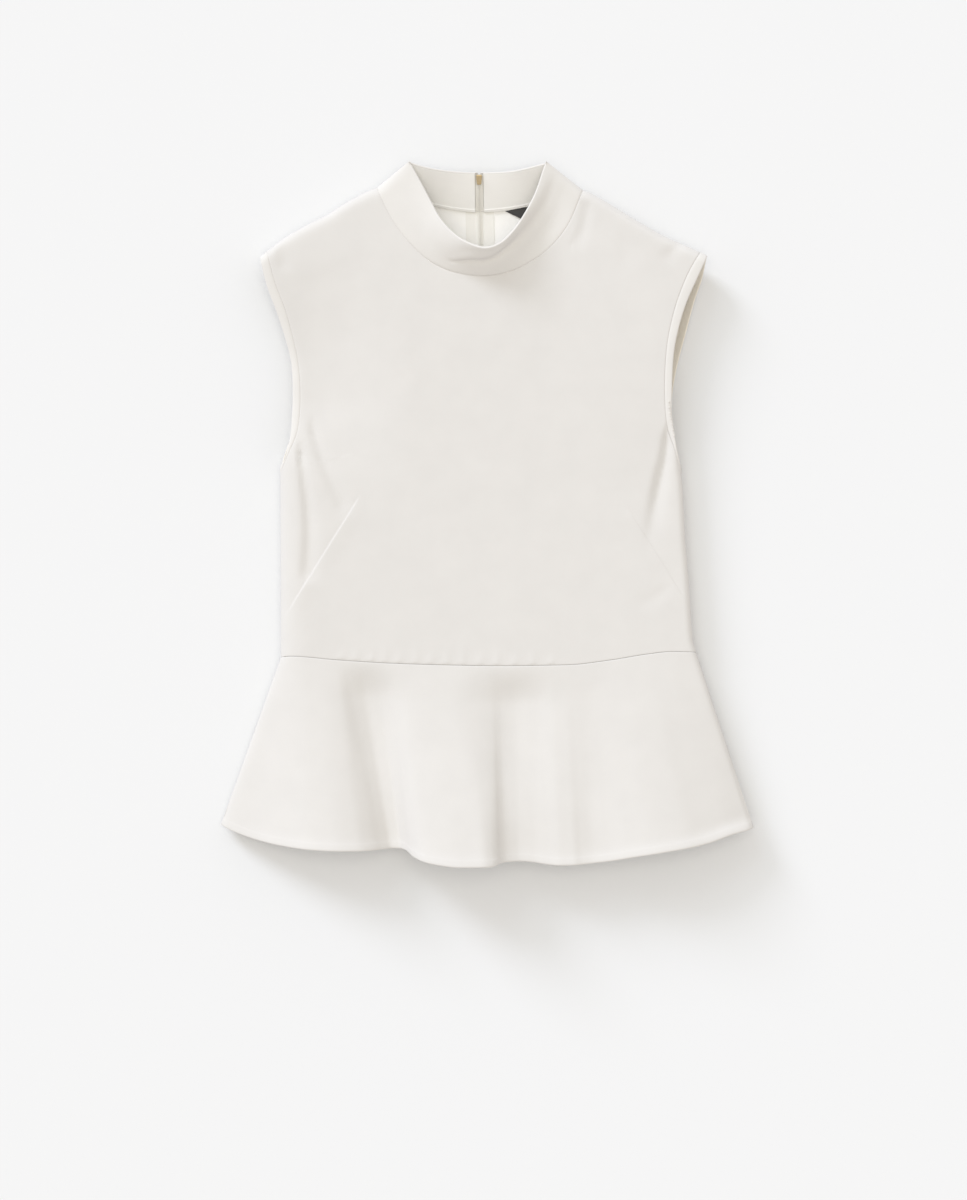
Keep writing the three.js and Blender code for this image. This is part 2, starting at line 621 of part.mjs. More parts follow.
// One side of a panel: up the side seam from the waist, then along the armhole band's seam
function panelSide(outline, waistY, armhole) {
  const points = [];
  for (let i = 0; i < SIDE_SEAM_ROWS; i += 1) {
    const y = THREE.MathUtils.lerp(waistY, UNDERARM_SEAM_Y, i / SIDE_SEAM_ROWS);
    points.push({ x: tableValue(outline, "y", "x", y), y });
  }
  return points.concat(armhole.seam);
}

function shoulderPoints(fromX, toX, shares) {
  return shares.map((share) => {
    const x = THREE.MathUtils.lerp(fromX, toX, share);
    return { x, y: tableValue(SHOULDER_OUTLINE, "x", "y", x) };
  });
}

function waistPoints(table, fromX, toX, shares) {
  return shares.map((share) => {
    const x = THREE.MathUtils.lerp(fromX, toX, share);
    return { x, y: tableValue(table, "x", "y", x) };
  });
}

function evenShares(count) {
  return Array.from({ length: count + 1 }, (_, i) => i / count);
}

function mirroredShares(shares) {
  return shares.map((share) => 1 - share).reverse();
}

// The stretches of the neck seam, shared by the panels and the collar
const neckFront = pointsAlong(NECK_FRONT, NECK_FRONT_SHARES);
const neckBackLeft = pointsAlong(NECK_BACK_LEFT, NECK_BACK_SHARES);
const neckBackRight = pointsAlong(NECK_BACK_RIGHT, mirroredShares(NECK_BACK_SHARES));

const armholes = {
  leftFront: armholeLines(ARMHOLES.left.front),
  leftBack: armholeLines([...ARMHOLES.left.back].reverse()),
  rightFront: armholeLines(ARMHOLES.right.front),
  rightBack: armholeLines([...ARMHOLES.right.back].reverse()),
};

function isOnShoulder(x) {
  return x < NECK_POINT_X.left + SAME_PLACE || x > NECK_POINT_X.right - SAME_PLACE;
}

// The normals along the outline are level. Elsewhere they are the face's own.
function panelRows(face, plan, outlineSides) {
  const lastRow = plan.length - 1;
  const lastColumn = plan[0].length - 1;
  return plan.map((row, i) =>
    row.map(({ x, y }, j) => {
      const onSideSeam = y < UNDERARM_SEAM_Y + SAME_PLACE;
      if (j === 0 && outlineSides.left && onSideSeam) return outlinePoint(x, y, { x: -1, y: 0 }, WALL);
      if (j === lastColumn && outlineSides.right && onSideSeam) {
        return outlinePoint(x, y, { x: 1, y: 0 }, WALL);
      }
      if (i === lastRow && isOnShoulder(x)) return outlinePoint(x, y, shoulderOutward(x), WALL);
      return facePoint(face, x, y, WALL);
    }),
  );
}

function frontBodice() {
  const leftEndX = armholes.leftFront.seam.at(-1).x;
  const rightEndX = armholes.rightFront.seam.at(-1).x;
  const below = WAIST_BELOW_NECK_X;
  const rightShares = mirroredShares(SIDE_SHARES);
  const top = [
    ...shoulderPoints(leftEndX, NECK_POINT_X.left, SIDE_SHARES).slice(0, -1),
    ...neckFront,
    ...shoulderPoints(NECK_POINT_X.right, rightEndX, rightShares).slice(1),
  ];
  const bottom = [
    ...waistPoints(WAIST_FRONT, WAIST_FRONT[0].x, below.left, SIDE_SHARES).slice(0, -1),
    ...waistPoints(WAIST_FRONT, below.left, below.right, NECK_FRONT_SHARES),
    ...waistPoints(WAIST_FRONT, below.right, WAIST_FRONT.at(-1).x, rightShares).slice(1),
  ];
  const left = panelSide(LEFT_OUTLINE, bottom[0].y, armholes.leftFront);
  const right = panelSide(RIGHT_OUTLINE, bottom.at(-1).y, armholes.rightFront);
  const rows = panelRows(FRONT, blendedPlan({ bottom, top, left, right }), { left: true, right: true });
  ["bottom", "top", "left", "right"].forEach((side) => drawBack(rows, side));
  return wallGeometry(rows);
}

function centreBackPoints(fromY, toY, count) {
  return evenShares(count).map((share) => {
    const y = THREE.MathUtils.lerp(fromY, toY, share);
    return { x: centreBackX(y), y };
  });
}

function backBodice(side) {
  const isLeft = side === "left";
  const armhole = isLeft ? armholes.leftBack : armholes.rightBack;
  const outline = isLeft ? LEFT_OUTLINE : RIGHT_OUTLINE;
  const endX = armhole.seam.at(-1).x;
  const waistNeckX = isLeft ? WAIST_BELOW_NECK_X.left : WAIST_BELOW_NECK_X.right;
  const waistEnd = isLeft ? WAIST_BACK[0] : WAIST_BACK.at(-1);
  const sideShares = isLeft ? BACK_SIDE_SHARES : mirroredShares(BACK_SIDE_SHARES);
  const neckShares = isLeft ? NECK_BACK_SHARES : mirroredShares(NECK_BACK_SHARES);
  const outerRun = panelSide(outline, waistEnd.y, armhole);
  const centre = centreBackPoints(CENTRE_BACK_WAIST.y, NECK_BACK_Y, outerRun.length - 1);
  const plan = isLeft
    ? blendedPlan({
        bottom: [
          ...waistPoints(WAIST_BACK, waistEnd.x, waistNeckX, sideShares).slice(0, -1),
          ...waistPoints(WAIST_BACK, waistNeckX, CENTRE_BACK_WAIST.x, neckShares),
        ],
        top: [
          ...shoulderPoints(endX, NECK_POINT_X.left, sideShares).slice(0, -1),
          ...neckBackLeft,
        ],
        left: outerRun,
        right: centre,
      })
    : blendedPlan({
        bottom: [
          ...waistPoints(WAIST_BACK, CENTRE_BACK_WAIST.x, waistNeckX, neckShares),
          ...waistPoints(WAIST_BACK, waistNeckX, waistEnd.x, sideShares).slice(1),
        ],
        top: [
          ...neckBackRight,
          ...shoulderPoints(NECK_POINT_X.right, endX, sideShares).slice(1),
        ],
        left: centre,
        right: outerRun,
      });
  const rows = panelRows(BACK, plan, { left: isLeft, right: !isLeft });
  ["bottom", "top", "left", "right"].forEach((edge) => drawBack(rows, edge));
  return wallGeometry(rows);
}

// The band runs up the front of the armhole to the shoulder and down its back to the underarm
function armholeBand(side) {
  const front = side === "left" ? armholes.leftFront : armholes.rightFront;
  const back = side === "left" ? armholes.leftBack : armholes.rightBack;
  const sideways = { x: side === "left" ? -1 : 1, y: 0 };
  const last = ARMHOLE_SHARES.length - 1;
  const section = (lines, face, i) => {
    const seam = lines.seam[i];
    const edge = lines.edge[i];
    const middle = { x: (seam.x + edge.x) / 2, y: (seam.y + edge.y) / 2 };
    if (i === 0) return [seam, middle, edge].map(({ x, y }) => outlinePoint(x, y, sideways, BAND_WALL));
    if (i === last) {
      return [seam, middle, edge].map(({ x }) => {
        const y = tableValue(SHOULDER_OUTLINE, "x", "y", x);
        return outlinePoint(x, y, shoulderOutward(x), BAND_WALL);
      });
    }
    return [seam, middle, edge].map(({ x, y }) => facePoint(face, x, y, BAND_WALL));
  };
  const sections = [];
  for (let i = 0; i <= last; i += 1) sections.push(section(front, FRONT, i));
  for (let i = last - 1; i >= 1; i -= 1) sections.push(section(back, BACK, i));
  drawBack(sections, "left", BAND_GAP - SEAM_GAP / 2);
  return wallGeometry(sections, true);
}

// A peplum panel: straight lines from the waist seam to the hem, one for each row of its table,
// with a turned-up hem that is thicker than the rest
function peplumPanel(face, folds, waistTable, side) {
  const shares = evenShares((folds.length - 1) * COLUMNS_PER_FOLD);
  const indexed = folds.map((fold, index) => ({ ...fold, index }));
  const at = (key, share) => tableValue(indexed, "index", key, share * (folds.length - 1));
  const columns = shares.map((share) => {
    const waistX = at("waistX", share);
    const hem = new THREE.Vector3(at("hemX", share), at("hemY", share), at("hemZ", share));
    const waistY = tableValue(waistTable, "x", "y", waistX);
    const waist = new THREE.Vector3(waistX, waistY, face.height(waistX, waistY));
    return { waist, hem };
  });
  const hemShare = (column) => 1 - HEM_DEPTH / column.waist.distanceTo(column.hem);
  const linePoint = (column, share) => {
    const point = column.waist.clone().lerp(column.hem, share);
    const grown = Math.pow(share, FOLD_GROWTH);
    point.z = THREE.MathUtils.lerp(column.waist.z, column.hem.z, grown);
    return point;
  };
  const rows = PEPLUM_ROW_SHARES.map((share) =>
    columns.map((column) => ({ point: linePoint(column, share * hemShare(column)), wall: WALL })),
  );
  rows.push(columns.map((column) => ({ point: linePoint(column, hemShare(column) - HEM_STEP), wall: WALL })));
  rows.push(columns.map((column) => ({ point: linePoint(column, hemShare(column)), wall: HEM_WALL })));
  rows.push(columns.map((column) => ({ point: linePoint(column, 1), wall: HEM_WALL })));
  setGridNormals(rows, face.facing);
  rows[0].forEach((entry, j) => {
    entry.normal = faceNormal(face, entry.point.x, entry.point.y);
    if (side[j === 0 ? "left" : "right"] && (j === 0 || j === columns.length - 1)) {
      entry.normal.set(j === 0 ? -1 : 1, 0, 0);
      entry.point.z = outlineHeight(entry.point.x, entry.point.y);
    }
  });
  for (const [edge, j] of [["left", 0], ["right", columns.length - 1]]) {
    if (!side[edge]) continue;
    const seam = columns[j].hem.clone().sub(columns[j].waist);
    const outward = new THREE.Vector3(seam.y, -seam.x, 0).normalize();
    if ((edge === "left") !== (outward.x < 0)) outward.negate();
    rows.slice(1).forEach((row) => row[j].normal.copy(outward));
  }
  ["bottom", "left", "right"].forEach((edge) => drawBack(rows, edge));
  return wallGeometry(rows);
}

// Normals of a grid from the points beside each one, turned to the way that the face looks
function setGridNormals(rows, facing) {
  const lastRow = rows.length - 1;
  const lastColumn = rows[0].length - 1;
  rows.forEach((row, i) =>
    row.forEach((entry, j) => {
      const across = row[Math.min(j + 1, lastColumn)].point.clone().sub(row[Math.max(j - 1, 0)].point);
      const above = rows[Math.min(i + 1, lastRow)][j].point;
      const along = above.clone().sub(rows[Math.max(i - 1, 0)][j].point);
      entry.normal = along.cross(across).normalize().multiplyScalar(facing);
    }),
  );
}

// The collar's columns, from the centre back round the left, the front and the right. Each one
// runs from the neck seam up to the folded top edge.
function collarColumn({ neckCurve, topCurve, face, neckShare, topShare, wall, front = 0, back = 0 }) {
  const plan = neckCurve.getPointAt(neckShare);
  const tangent = neckCurve.getTangentAt(neckShare);
  const seam = isOnShoulder(plan.x)
    ? outlinePoint(plan.x, plan.y, shoulderOutward(plan.x), wall)
    : facePoint(face, plan.x, plan.y, wall);
  seam.point.x -= (tangent.y * SEAM_GAP) / 2;
  seam.point.y += (tangent.x * SEAM_GAP) / 2;
  return { seam, top: topCurve.getPointAt(topShare), wall, front, back };
}

// From the zip to the neck point. Shares run from the left end of each table to its right end.
function backCollarColumns(neckTable, topTable, isLeft) {
  const neckCurve = curveThrough(neckTable);
  const topCurve = curveThrough(topTable);
  const fromZip = (share) => (isLeft ? 1 - share : share);
  const column = (neck, top, wall, back) =>
    collarColumn({
      neckCurve,
      topCurve,
      face: BACK,
      neckShare: fromZip(neck),
      topShare: fromZip(top),
      wall,
      back,
    });
  const beside = (distance, wall) =>
    column(distance / neckCurve.getLength(), distance / topCurve.getLength(), wall, 1);
  const columns = [
    beside(ZIP_SLOT, COLLAR_SINGLE_WALL),
    beside(COLLAR_LAYER_END, COLLAR_SINGLE_WALL),
    beside(COLLAR_LAYER_END + SEAM_GAP, COLLAR_WALL),
  ];
  for (const share of mirroredShares(NECK_BACK_SHARES).slice(1, -1)) {
    columns.push(column(share, share, COLLAR_WALL, 1 - share));
  }
  return columns;
}

function collarColumns() {
  const neckCurve = curveThrough(NECK_FRONT);
  const topCurve = curveThrough(COLLAR_TOP_FRONT);
  const front = NECK_FRONT_SHARES.map((share) =>
    collarColumn({
      neckCurve,
      topCurve,
      face: FRONT,
      neckShare: share,
      topShare: share,
      wall: COLLAR_WALL,
      front: share,
    }),
  );
  const left = backCollarColumns(NECK_BACK_LEFT, COLLAR_TOP_BACK_LEFT, true);
  const right = backCollarColumns(NECK_BACK_RIGHT, COLLAR_TOP_BACK_RIGHT, false);
  return [...left, ...front, ...right.reverse()];
}

function collar() {
  const columns = collarColumns();
  const rows = COLLAR_ROW_SHARES.map((share) =>
    columns.map(({ seam, top, wall }) => ({ point: seam.point.clone().lerp(top, share), wall })),
  );
  setGridNormals(rows, -1);
  rows.forEach((row, i) =>
    row.forEach((entry, j) => {
      const { front, back } = columns[j];
      const belly = 4 * COLLAR_ROW_SHARES[i] * (1 - COLLAR_ROW_SHARES[i]);
      const dentMiddle = (COLLAR_DENT.from + COLLAR_DENT.to) / 2;
      const dent =
        smoothRamp(front, COLLAR_DENT.from, dentMiddle) * (1 - smoothRamp(front, dentMiddle, COLLAR_DENT.to));
      const push = COLLAR_BULGE * (1 - back) - (COLLAR_BULGE + COLLAR_DENT.depth) * dent;
      entry.point.addScaledVector(entry.normal, belly * push);
    }),
  );
  setGridNormals(rows, -1);
  rows[0].forEach((entry, j) => entry.normal.copy(columns[j].seam.normal));
  return wallGeometry(rows);
}

// The frame of the collar's outer face at the centre back: where it starts, up it, and into it
function collarBackFrame() {
  const start = new THREE.Vector3(centreBackX(NECK_BACK_Y), NECK_BACK_Y, 0);
  start.z = backHeight(start.x, start.y);
  start.y += SEAM_GAP / 2;
  const end = curveThrough(COLLAR_TOP_BACK_LEFT).getPointAt(1);
  const up = end.clone().sub(start);
  const slope = Math.atan2(up.z, up.y);
  return { start, end, length: up.length(), slope };
}

// A zip tape lies on the inside of the back, and goes up inside the collar to its top edge
function zipTape(side) {
  const sign = side === "left" ? -1 : 1;
  const rows = [];
  const wideRow = (y, width) => {
    const offsets = [SEAM_GAP / 2, width / 2, width];
    rows.push(
      offsets.map((offset) => {
        const x = centreBackX(y) + sign * offset;
        const up = faceNormal(BACK, x, y).negate();
        const point = new THREE.Vector3(x, y, backHeight(x, y));
        point.addScaledVector(up, WALL + SEAM_GAP + TAPE_WALL);
        return { point, normal: up, wall: TAPE_WALL };
      }),
    );
  };
  const wideRows = Math.ceil((TAPE_SHOULDER.fromY - TAPE_BOTTOM_Y) / TAPE_ROW_SPACING);
  for (const share of evenShares(wideRows)) {
    wideRow(THREE.MathUtils.lerp(TAPE_BOTTOM_Y, TAPE_SHOULDER.fromY, share), TAPE_WIDTH);
  }
  wideRow(TAPE_SHOULDER.toY, TAPE_COLLAR_WIDTH);
  const frame = collarBackFrame();
  const inward = new THREE.Vector3(0, -Math.sin(frame.slope), Math.cos(frame.slope));
  for (const share of TAPE_COLLAR_SHARES) {
    const offsets = [ZIP_SLOT, (ZIP_SLOT + TAPE_COLLAR_WIDTH) / 2, TAPE_COLLAR_WIDTH];
    rows.push(
      offsets.map((offset) => {
        const point = frame.start.clone().lerp(frame.end, share);
        point.x += sign * offset;
        point.addScaledVector(inward, COLLAR_SINGLE_WALL + SEAM_GAP + TAPE_WALL);
        return { point, normal: inward, wall: TAPE_WALL };
      }),
    );
  }
  return wallGeometry(rows);
}

function label() {
  const [a, b, c, d] = LABEL_CORNERS.map((corner) => new THREE.Vector3(corner.x, corner.y, 0));
  const rows = evenShares(LABEL_STEPS).map((v) =>
    evenShares(LABEL_STEPS).map((u) => {
      const point = a.clone().lerp(b, u).lerp(d.clone().lerp(c, u), v);
      const up = faceNormal(BACK, point.x, point.y).negate();
      point.z = backHeight(point.x, point.y);
      point.addScaledVector(up, WALL + LABEL_GAP + LABEL_WALL);
      return { point, normal: up, wall: LABEL_WALL };
    }),
  );
  return wallGeometry(rows);
}

// A flat outline that tapers from one width to another, with round corners
function taperedShape(top, topWidth, bottom, bottomWidth, corner) {
  const shape = new THREE.Shape();
  const right = [topWidth / 2, bottomWidth / 2];
  shape.moveTo(-right[0] + corner, top);
  shape.lineTo(right[0] - corner, top);
  shape.quadraticCurveTo(right[0], top, right[0], top - corner);
  shape.lineTo(right[1], bottom + corner);
  shape.quadraticCurveTo(right[1], bottom, right[1] - corner, bottom);
  shape.lineTo(-right[1] + corner, bottom);
  shape.quadraticCurveTo(-right[1], bottom, -right[1], bottom + corner);
  shape.lineTo(-right[0], top - corner);
  shape.quadraticCurveTo(-right[0], top, -right[0] + corner, top);
  return shape;
}

const wasm = await Module();
wasm.setup();

function toSolid(geometry) {
  const plain = geometry.clone();
  plain.deleteAttribute("normal");
  plain.deleteAttribute("uv");
  const merged = BufferGeometryUtils.mergeVertices(plain, 1e-4);
  return new wasm.Manifold(
    new wasm.Mesh({
      numProp: 3,
      vertProperties: new Float32Array(merged.attributes.position.array),
      triVerts: new Uint32Array(merged.index.array),
    }),
  );
}

function fromSolid(solid) {
  const { vertProperties, triVerts } = solid.getMesh();
  const geometry = new THREE.BufferGeometry();
  geometry.setAttribute("position", new THREE.BufferAttribute(new Float32Array(vertProperties), 3));
  geometry.setIndex(new THREE.BufferAttribute(new Uint32Array(triVerts), 1));
  return geometry;
}

function sliderBody(outerZ) {
  const { length, topWidth, bottomWidth, thickness, corner, bevel } = SLIDER_BODY;
  const half = length / 2 - bevel;
  const shape = taperedShape(half, topWidth - 2 * bevel, -half, bottomWidth - 2 * bevel, corner);
  const body = new THREE.ExtrudeGeometry(shape, {
    depth: thickness - 2 * bevel,
    bevelThickness: bevel,
    bevelSize: bevel,
    bevelSegments: 2,
    curveSegments: 4,
  });
  body.translate(0, 0, outerZ + bevel);
  return body;
}

// The fin stands across the slot. It is drawn as an outline with x up the collar and y into the neck.
function sliderFin(outerZ) {
  const half = FIN.length / 2;
  const outline = new THREE.Shape();
  outline.moveTo(-half, outerZ + FIN.rootDepth);
  outline.lineTo(-half, -FIN.eyeReach);
  outline.absarc(0, -FIN.eyeReach, half, Math.PI, 2 * Math.PI, false);
  outline.lineTo(half, outerZ + FIN.rootDepth);
  const eye = new THREE.Path();
  eye.absarc(0, -FIN.eyeReach, FIN.eyeRadius, 0, 2 * Math.PI, true);
  outline.holes.push(eye);
  const depth = FIN.thickness;
  const fin = new THREE.ExtrudeGeometry(outline, { depth, bevelEnabled: false, curveSegments: 8 });
  fin.translate(0, 0, -depth / 2);
  const acrossSlot = new THREE.Matrix4().makeBasis(
    new THREE.Vector3(0, 1, 0),
    new THREE.Vector3(0, 0, 1),
    new THREE.Vector3(1, 0, 0),
  );
  return fin.applyMatrix4(acrossSlot);
}

function sliderGeometry() {
  const outerZ = COLLAR_SINGLE_WALL + TAPE_WALL + 2 * SEAM_GAP;
  return fromSolid(toSolid(sliderBody(outerZ)).add(toSolid(sliderFin(outerZ))));
}

// The pull tab, with its hinge bar along x at its own origin and its length down -y. The window
// behind the bar takes the slider's fin.
function pullGeometry() {
  const { barRadius, topWidth, bottomWidth, thickness, length, corner, windowWidth, windowLength } = PULL;
  const shape = taperedShape(barRadius, topWidth, -length, bottomWidth, corner);
  const plate = new THREE.ExtrudeGeometry(shape, { depth: thickness, bevelEnabled: false, curveSegments: 5 });
  plate.translate(0, 0, -thickness / 2);
  const notch = new THREE.BoxGeometry(windowWidth, windowLength + topWidth, 2 * thickness);
  notch.translate(0, (topWidth - windowLength) / 2, 0);
  const bar = new THREE.CylinderGeometry(barRadius, barRadius, topWidth - 2 * barRadius, 12);
  bar.rotateZ(Math.PI / 2);
  return fromSolid(toSolid(plate).subtract(toSolid(notch)).add(toSolid(bar)));
}

const ivory = new THREE.MeshStandardMaterial({ color: 0xece8df, roughness: 0.85, metalness: 0 });
const tapeWhite = new THREE.MeshStandardMaterial({ color: 0xe9e6db, roughness: 0.8, metalness: 0 });
const labelBlack = new THREE.MeshStandardMaterial({ color: 0x201d1f, roughness: 0.45, metalness: 0 });
const paleGold = new THREE.MeshStandardMaterial({ color: 0xd2bb8d, roughness: 0.35, metalness: 1 });
const group = new THREE.Group();

function addPiece(name, geometry, material) {
  const mesh = new THREE.Mesh(geometry, material.clone());
  mesh.name = name;
  group.add(mesh);
}

addPiece("front_bodice", frontBodice(), ivory);
addPiece("back_bodice_left", backBodice("left"), ivory);
addPiece("back_bodice_right", backBodice("right"), ivory);
addPiece("armhole_band_left", armholeBand("left"), ivory);
addPiece("armhole_band_right", armholeBand("right"), ivory);
addPiece(
  "front_peplum",
  peplumPanel(FRONT, PEPLUM_FRONT_FOLDS, WAIST_FRONT, { left: true, right: true }),
  ivory,
);
addPiece(
  "back_peplum_left",
  peplumPanel(BACK, PEPLUM_BACK_LEFT_FOLDS, WAIST_BACK, { left: true, right: false }),
  ivory,
);
addPiece(
  "back_peplum_right",
  peplumPanel(BACK, PEPLUM_BACK_RIGHT_FOLDS, WAIST_BACK, { left: false, right: true }),
  ivory,
);
addPiece("collar", collar(), ivory);
addPiece("zip_tape_left", zipTape("left"), tapeWhite);
addPiece("zip_tape_right", zipTape("right"), tapeWhite);
addPiece("label", label(), labelBlack);

const zipHead = new THREE.Group();
const collarBack = collarBackFrame();
zipHead.position.copy(collarBack.start).lerp(collarBack.end, SLIDER_DISTANCE / collarBack.length);
zipHead.rotation.x = collarBack.slope;
group.add(zipHead);

const slider = new THREE.Mesh(sliderGeometry(), paleGold);
slider.name = "zip_slider";
zipHead.add(slider);

const pull = new THREE.Mesh(pullGeometry(), paleGold.clone());
pull.name = "zip_pull";
pull.position.z = -FIN.eyeReach;
pull.rotation.x = PULL_REST_ANGLE;
zipHead.add(pull);

export default group;
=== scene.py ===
import math

import bmesh
import bpy
import numpy as np
from mathutils import Matrix, Vector


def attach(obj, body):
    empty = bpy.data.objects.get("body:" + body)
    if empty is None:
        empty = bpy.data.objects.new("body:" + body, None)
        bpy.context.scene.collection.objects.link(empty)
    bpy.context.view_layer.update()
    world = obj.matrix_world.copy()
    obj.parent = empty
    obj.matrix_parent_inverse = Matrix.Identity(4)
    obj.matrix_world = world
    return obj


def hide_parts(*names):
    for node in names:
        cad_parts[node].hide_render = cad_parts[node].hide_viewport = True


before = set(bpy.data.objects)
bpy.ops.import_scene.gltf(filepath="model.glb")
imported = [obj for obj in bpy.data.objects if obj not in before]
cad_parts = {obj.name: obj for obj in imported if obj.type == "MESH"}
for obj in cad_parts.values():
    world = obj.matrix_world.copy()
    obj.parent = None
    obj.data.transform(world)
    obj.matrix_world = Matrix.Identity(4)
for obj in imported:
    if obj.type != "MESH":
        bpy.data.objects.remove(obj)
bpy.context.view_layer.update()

# Camera. It hangs straight above the top, which lies on its back on a pale floor, as in the
# photograph of 967 by 1200 pixels. The long side of the picture spans 1.09 metres of floor.
CAMERA_PLACE = Vector((-0.0031, -0.0772, 2.5))
FLOOR_IN_VIEW = 1.0908


def add_object(name, data):
    thing = bpy.data.objects.new(name, data)
    bpy.context.scene.collection.objects.link(thing)
    return thing


camera_data = bpy.data.cameras.new("camera")
camera_data.lens = camera_data.sensor_width * CAMERA_PLACE.z / FLOOR_IN_VIEW
camera = add_object("camera", camera_data)
camera.location = CAMERA_PLACE
bpy.context.scene.camera = camera

# Front bodice. One piece of off-white crepe from the waist seam to the neck and shoulders, shaped
# by a long dart from each side seam to the bust. All its tables are in millimetres, seen from
# above, and its height over the floor is worked out from how far a point is from the outline.
MM = 0.001
CREPE_WALL = 0.8
SIDE_OUTLINE = {
    "left": [
        (-130, -186.3), (-67, -186.3), (25, -186.7), (85, -186.7), (130, -186.4), (159, -192.4),
        (191, -202.9), (222, -213.6), (245, -219),
    ],
    "right": [
        (-124, 188.7), (-113, 185.8), (-67, 182.6), (-21, 178.9), (25, 176.5), (48, 174.6), (75, 176),
        (102, 179), (130, 181), (160, 185), (190, 193), (220, 206), (245, 214),
    ],
}  # y, x
SHOULDER_OUTLINE = [
    (-222, 220), (-205.1, 232), (-184, 248.4), (-164.4, 260.1), (-144.7, 270), (-129.2, 279.8),
    (-113.4, 288.6), (-99.7, 294.4), (-60, 300), (46, 300), (86.8, 292.4), (101.5, 285.5),
    (121.1, 273.6), (140.6, 261.7), (160.2, 250.8), (179.6, 242), (198.9, 233.1), (216, 224),
]  # x, y
WAIST_FRONT = [
    (-186.3, -128.6), (-176.7, -127.8), (-133, -131.2), (-89.5, -133.9), (-41.4, -135.5), (9.1, -136.3),
    (72.1, -135.5), (110.8, -131.2), (144.5, -125.8), (166.5, -123.6), (188.7, -124),
]  # x, y
NECK_FRONT = [
    (-99.7, 294.4), (-87.5, 268.8), (-74, 248.9), (-56, 230.7), (-39.6, 221), (-24.7, 216.5),
    (-3.8, 214.3), (17, 217.2), (35, 224.7), (54.4, 238.1), (72.3, 259.3), (86.8, 292.4),
]  # x, y
UNDERARM_Y = 37
NECK_POINT_X = {"left": -99.7, "right": 86.8}
WAIST_BELOW_NECK_X = {"left": -104, "right": 95}
ARMHOLE_SEAM = {
    "left_front": [
        (-186.7, UNDERARM_Y), (-184.6, 42), (-179, 54.5), (-171.8, 72), (-169.2, 88), (-168.6, 116),
        (-170.8, 139), (-175.5, 161.5), (-181.5, 183.5), (-190.6, 208), (-198.4, 237.4),
    ],
    "left_back": [
        (-186.7, UNDERARM_Y), (-180.6, 47), (-172.6, 65), (-167.4, 91), (-166.4, 122), (-170.6, 153),
        (-178.6, 180), (-189.2, 208), (-198.4, 237.4),
    ],
    "right_front": [
        (175.4, UNDERARM_Y), (173.6, 43), (169.4, 57), (163, 75), (160.6, 91), (159.7, 116),
        (161.1, 146), (164.4, 167), (171, 192), (181, 217), (192, 236.4),
    ],
    "right_back": [
        (175.4, UNDERARM_Y), (168.2, 50), (161, 72.5), (160.2, 102), (165, 134.5), (172.8, 165),
        (181.4, 196), (188, 216), (192, 236.4),
    ],
}
FRONT_HEIGHT = 25.5
CHEST_LIFT = 3.5
SIDE_HEIGHT = {"left": 14, "right": 19}
SHOULDER_HEIGHT = {"left": 18, "right": 20}
FRONT_SIDE_ROLL = {"left": 24, "right": 6.5}
FRONT_SHOULDER_ROLL = 9
BACK_SIDE_ROLL = 20
BACK_SHOULDER_ROLL = 26
SHOULDER_SLOPE = math.radians(30)
# Spans over which the chest's lift or the outline's height changes
CHEST_LIFT_X, CHEST_LIFT_Y = (40, 165), (20, 150)
SIDE_CHANGE_X, SHOULDER_CHANGE_X, SHOULDER_CHANGE_Y = (-60, 60), (70, 190), (60, 230)
DARTS = [
    {"tip": (-114.0, 16.9), "seam": (-186.3, -99), "lap": 0.5, "width": 16, "groove": 0},
    {"tip": (126, 6.5), "seam": (184.8, -86), "lap": 0.34, "width": 10, "groove": 0.6},
]
DART_FOLD = 0.45
DART_DIP = {"share": 0.3, "before": 1.4, "width": 1.3}
DART_GROOVE_WIDTH = 0.5
DART_SEWN, DART_GROOVE = (0, 0.08, 0.94, 1.04), (0.6, 0.8, 1.0, 1.05)  # shares of its length
DART_CUTS = (-2.6, -1.6, -0.9, -DART_FOLD, 0, DART_FOLD, 1.2, 2.6)
DART_STRIP, DART_OVERRUN = 5, 4
# Soft troughs that the laid-out cloth falls into: the line, its depth, its spread to the left and
# to the right of the line, and the shares of its length over which it begins and ends
FRONT_CREASES = [
    ([(-170.5, 68), (-166.5, 40), (-161.5, -3), (-161.5, -38), (-164, -66)], 2.7, (4.6, 9), (0.12, 0.12)),
    ([(-160, 92), (-156.5, 72), (-141, 31), (-131, 8), (-130.5, -6)], 1.9, (5, 9), (0.2, 0.16)),
    ([(163.4, 86), (162, 76), (159.7, 54), (154.8, 31), (149.3, -1), (146.2, -23), (145, -40)], 3.9,
     (4.6, 9.5), (0.2, 0.55)),
    ([(90, 284), (88.5, 268), (83, 250), (72, 236)], 1.4, (4, 7), (0.1, 0.4)),
    ([(118, 262), (124, 236), (122, 206)], 0.7, (9, 12), (0.4, 0.5)),
    ([(177, 246), (166, 236), (158, 222)], 1.2, (6, 7), (0.2, 0.4)),
    ([(-188, 242), (-184, 230), (-182, 216)], 1.0, (5, 8), (0.2, 0.4)),
    ([(168, -60), (152, -74), (128, -84)], 0.6, (7, 9), (0.3, 0.4)),
]
CREASE_START, CREASE_GROWTH = 0.4, 0.8  # shares of its spread: where it begins, and added by its end
PUCKERS = [
    (-131, 9), (-118, 14), (-104, 10), (-92, 17), (-79, 13), (-64, 20), (-51, 12), (-36, 18), (-22, 22),
    (-6, 14), (9, 19), (25, 13), (41, 16), (58, 10),
]  # x of a ripple above the waist seam, its length
PUCKER_HEIGHT = 0.55
PUCKER_WIDTH = 3.0
ARMHOLE_SAG = 8
ARMHOLE_SAG_REACH = (4, 105)
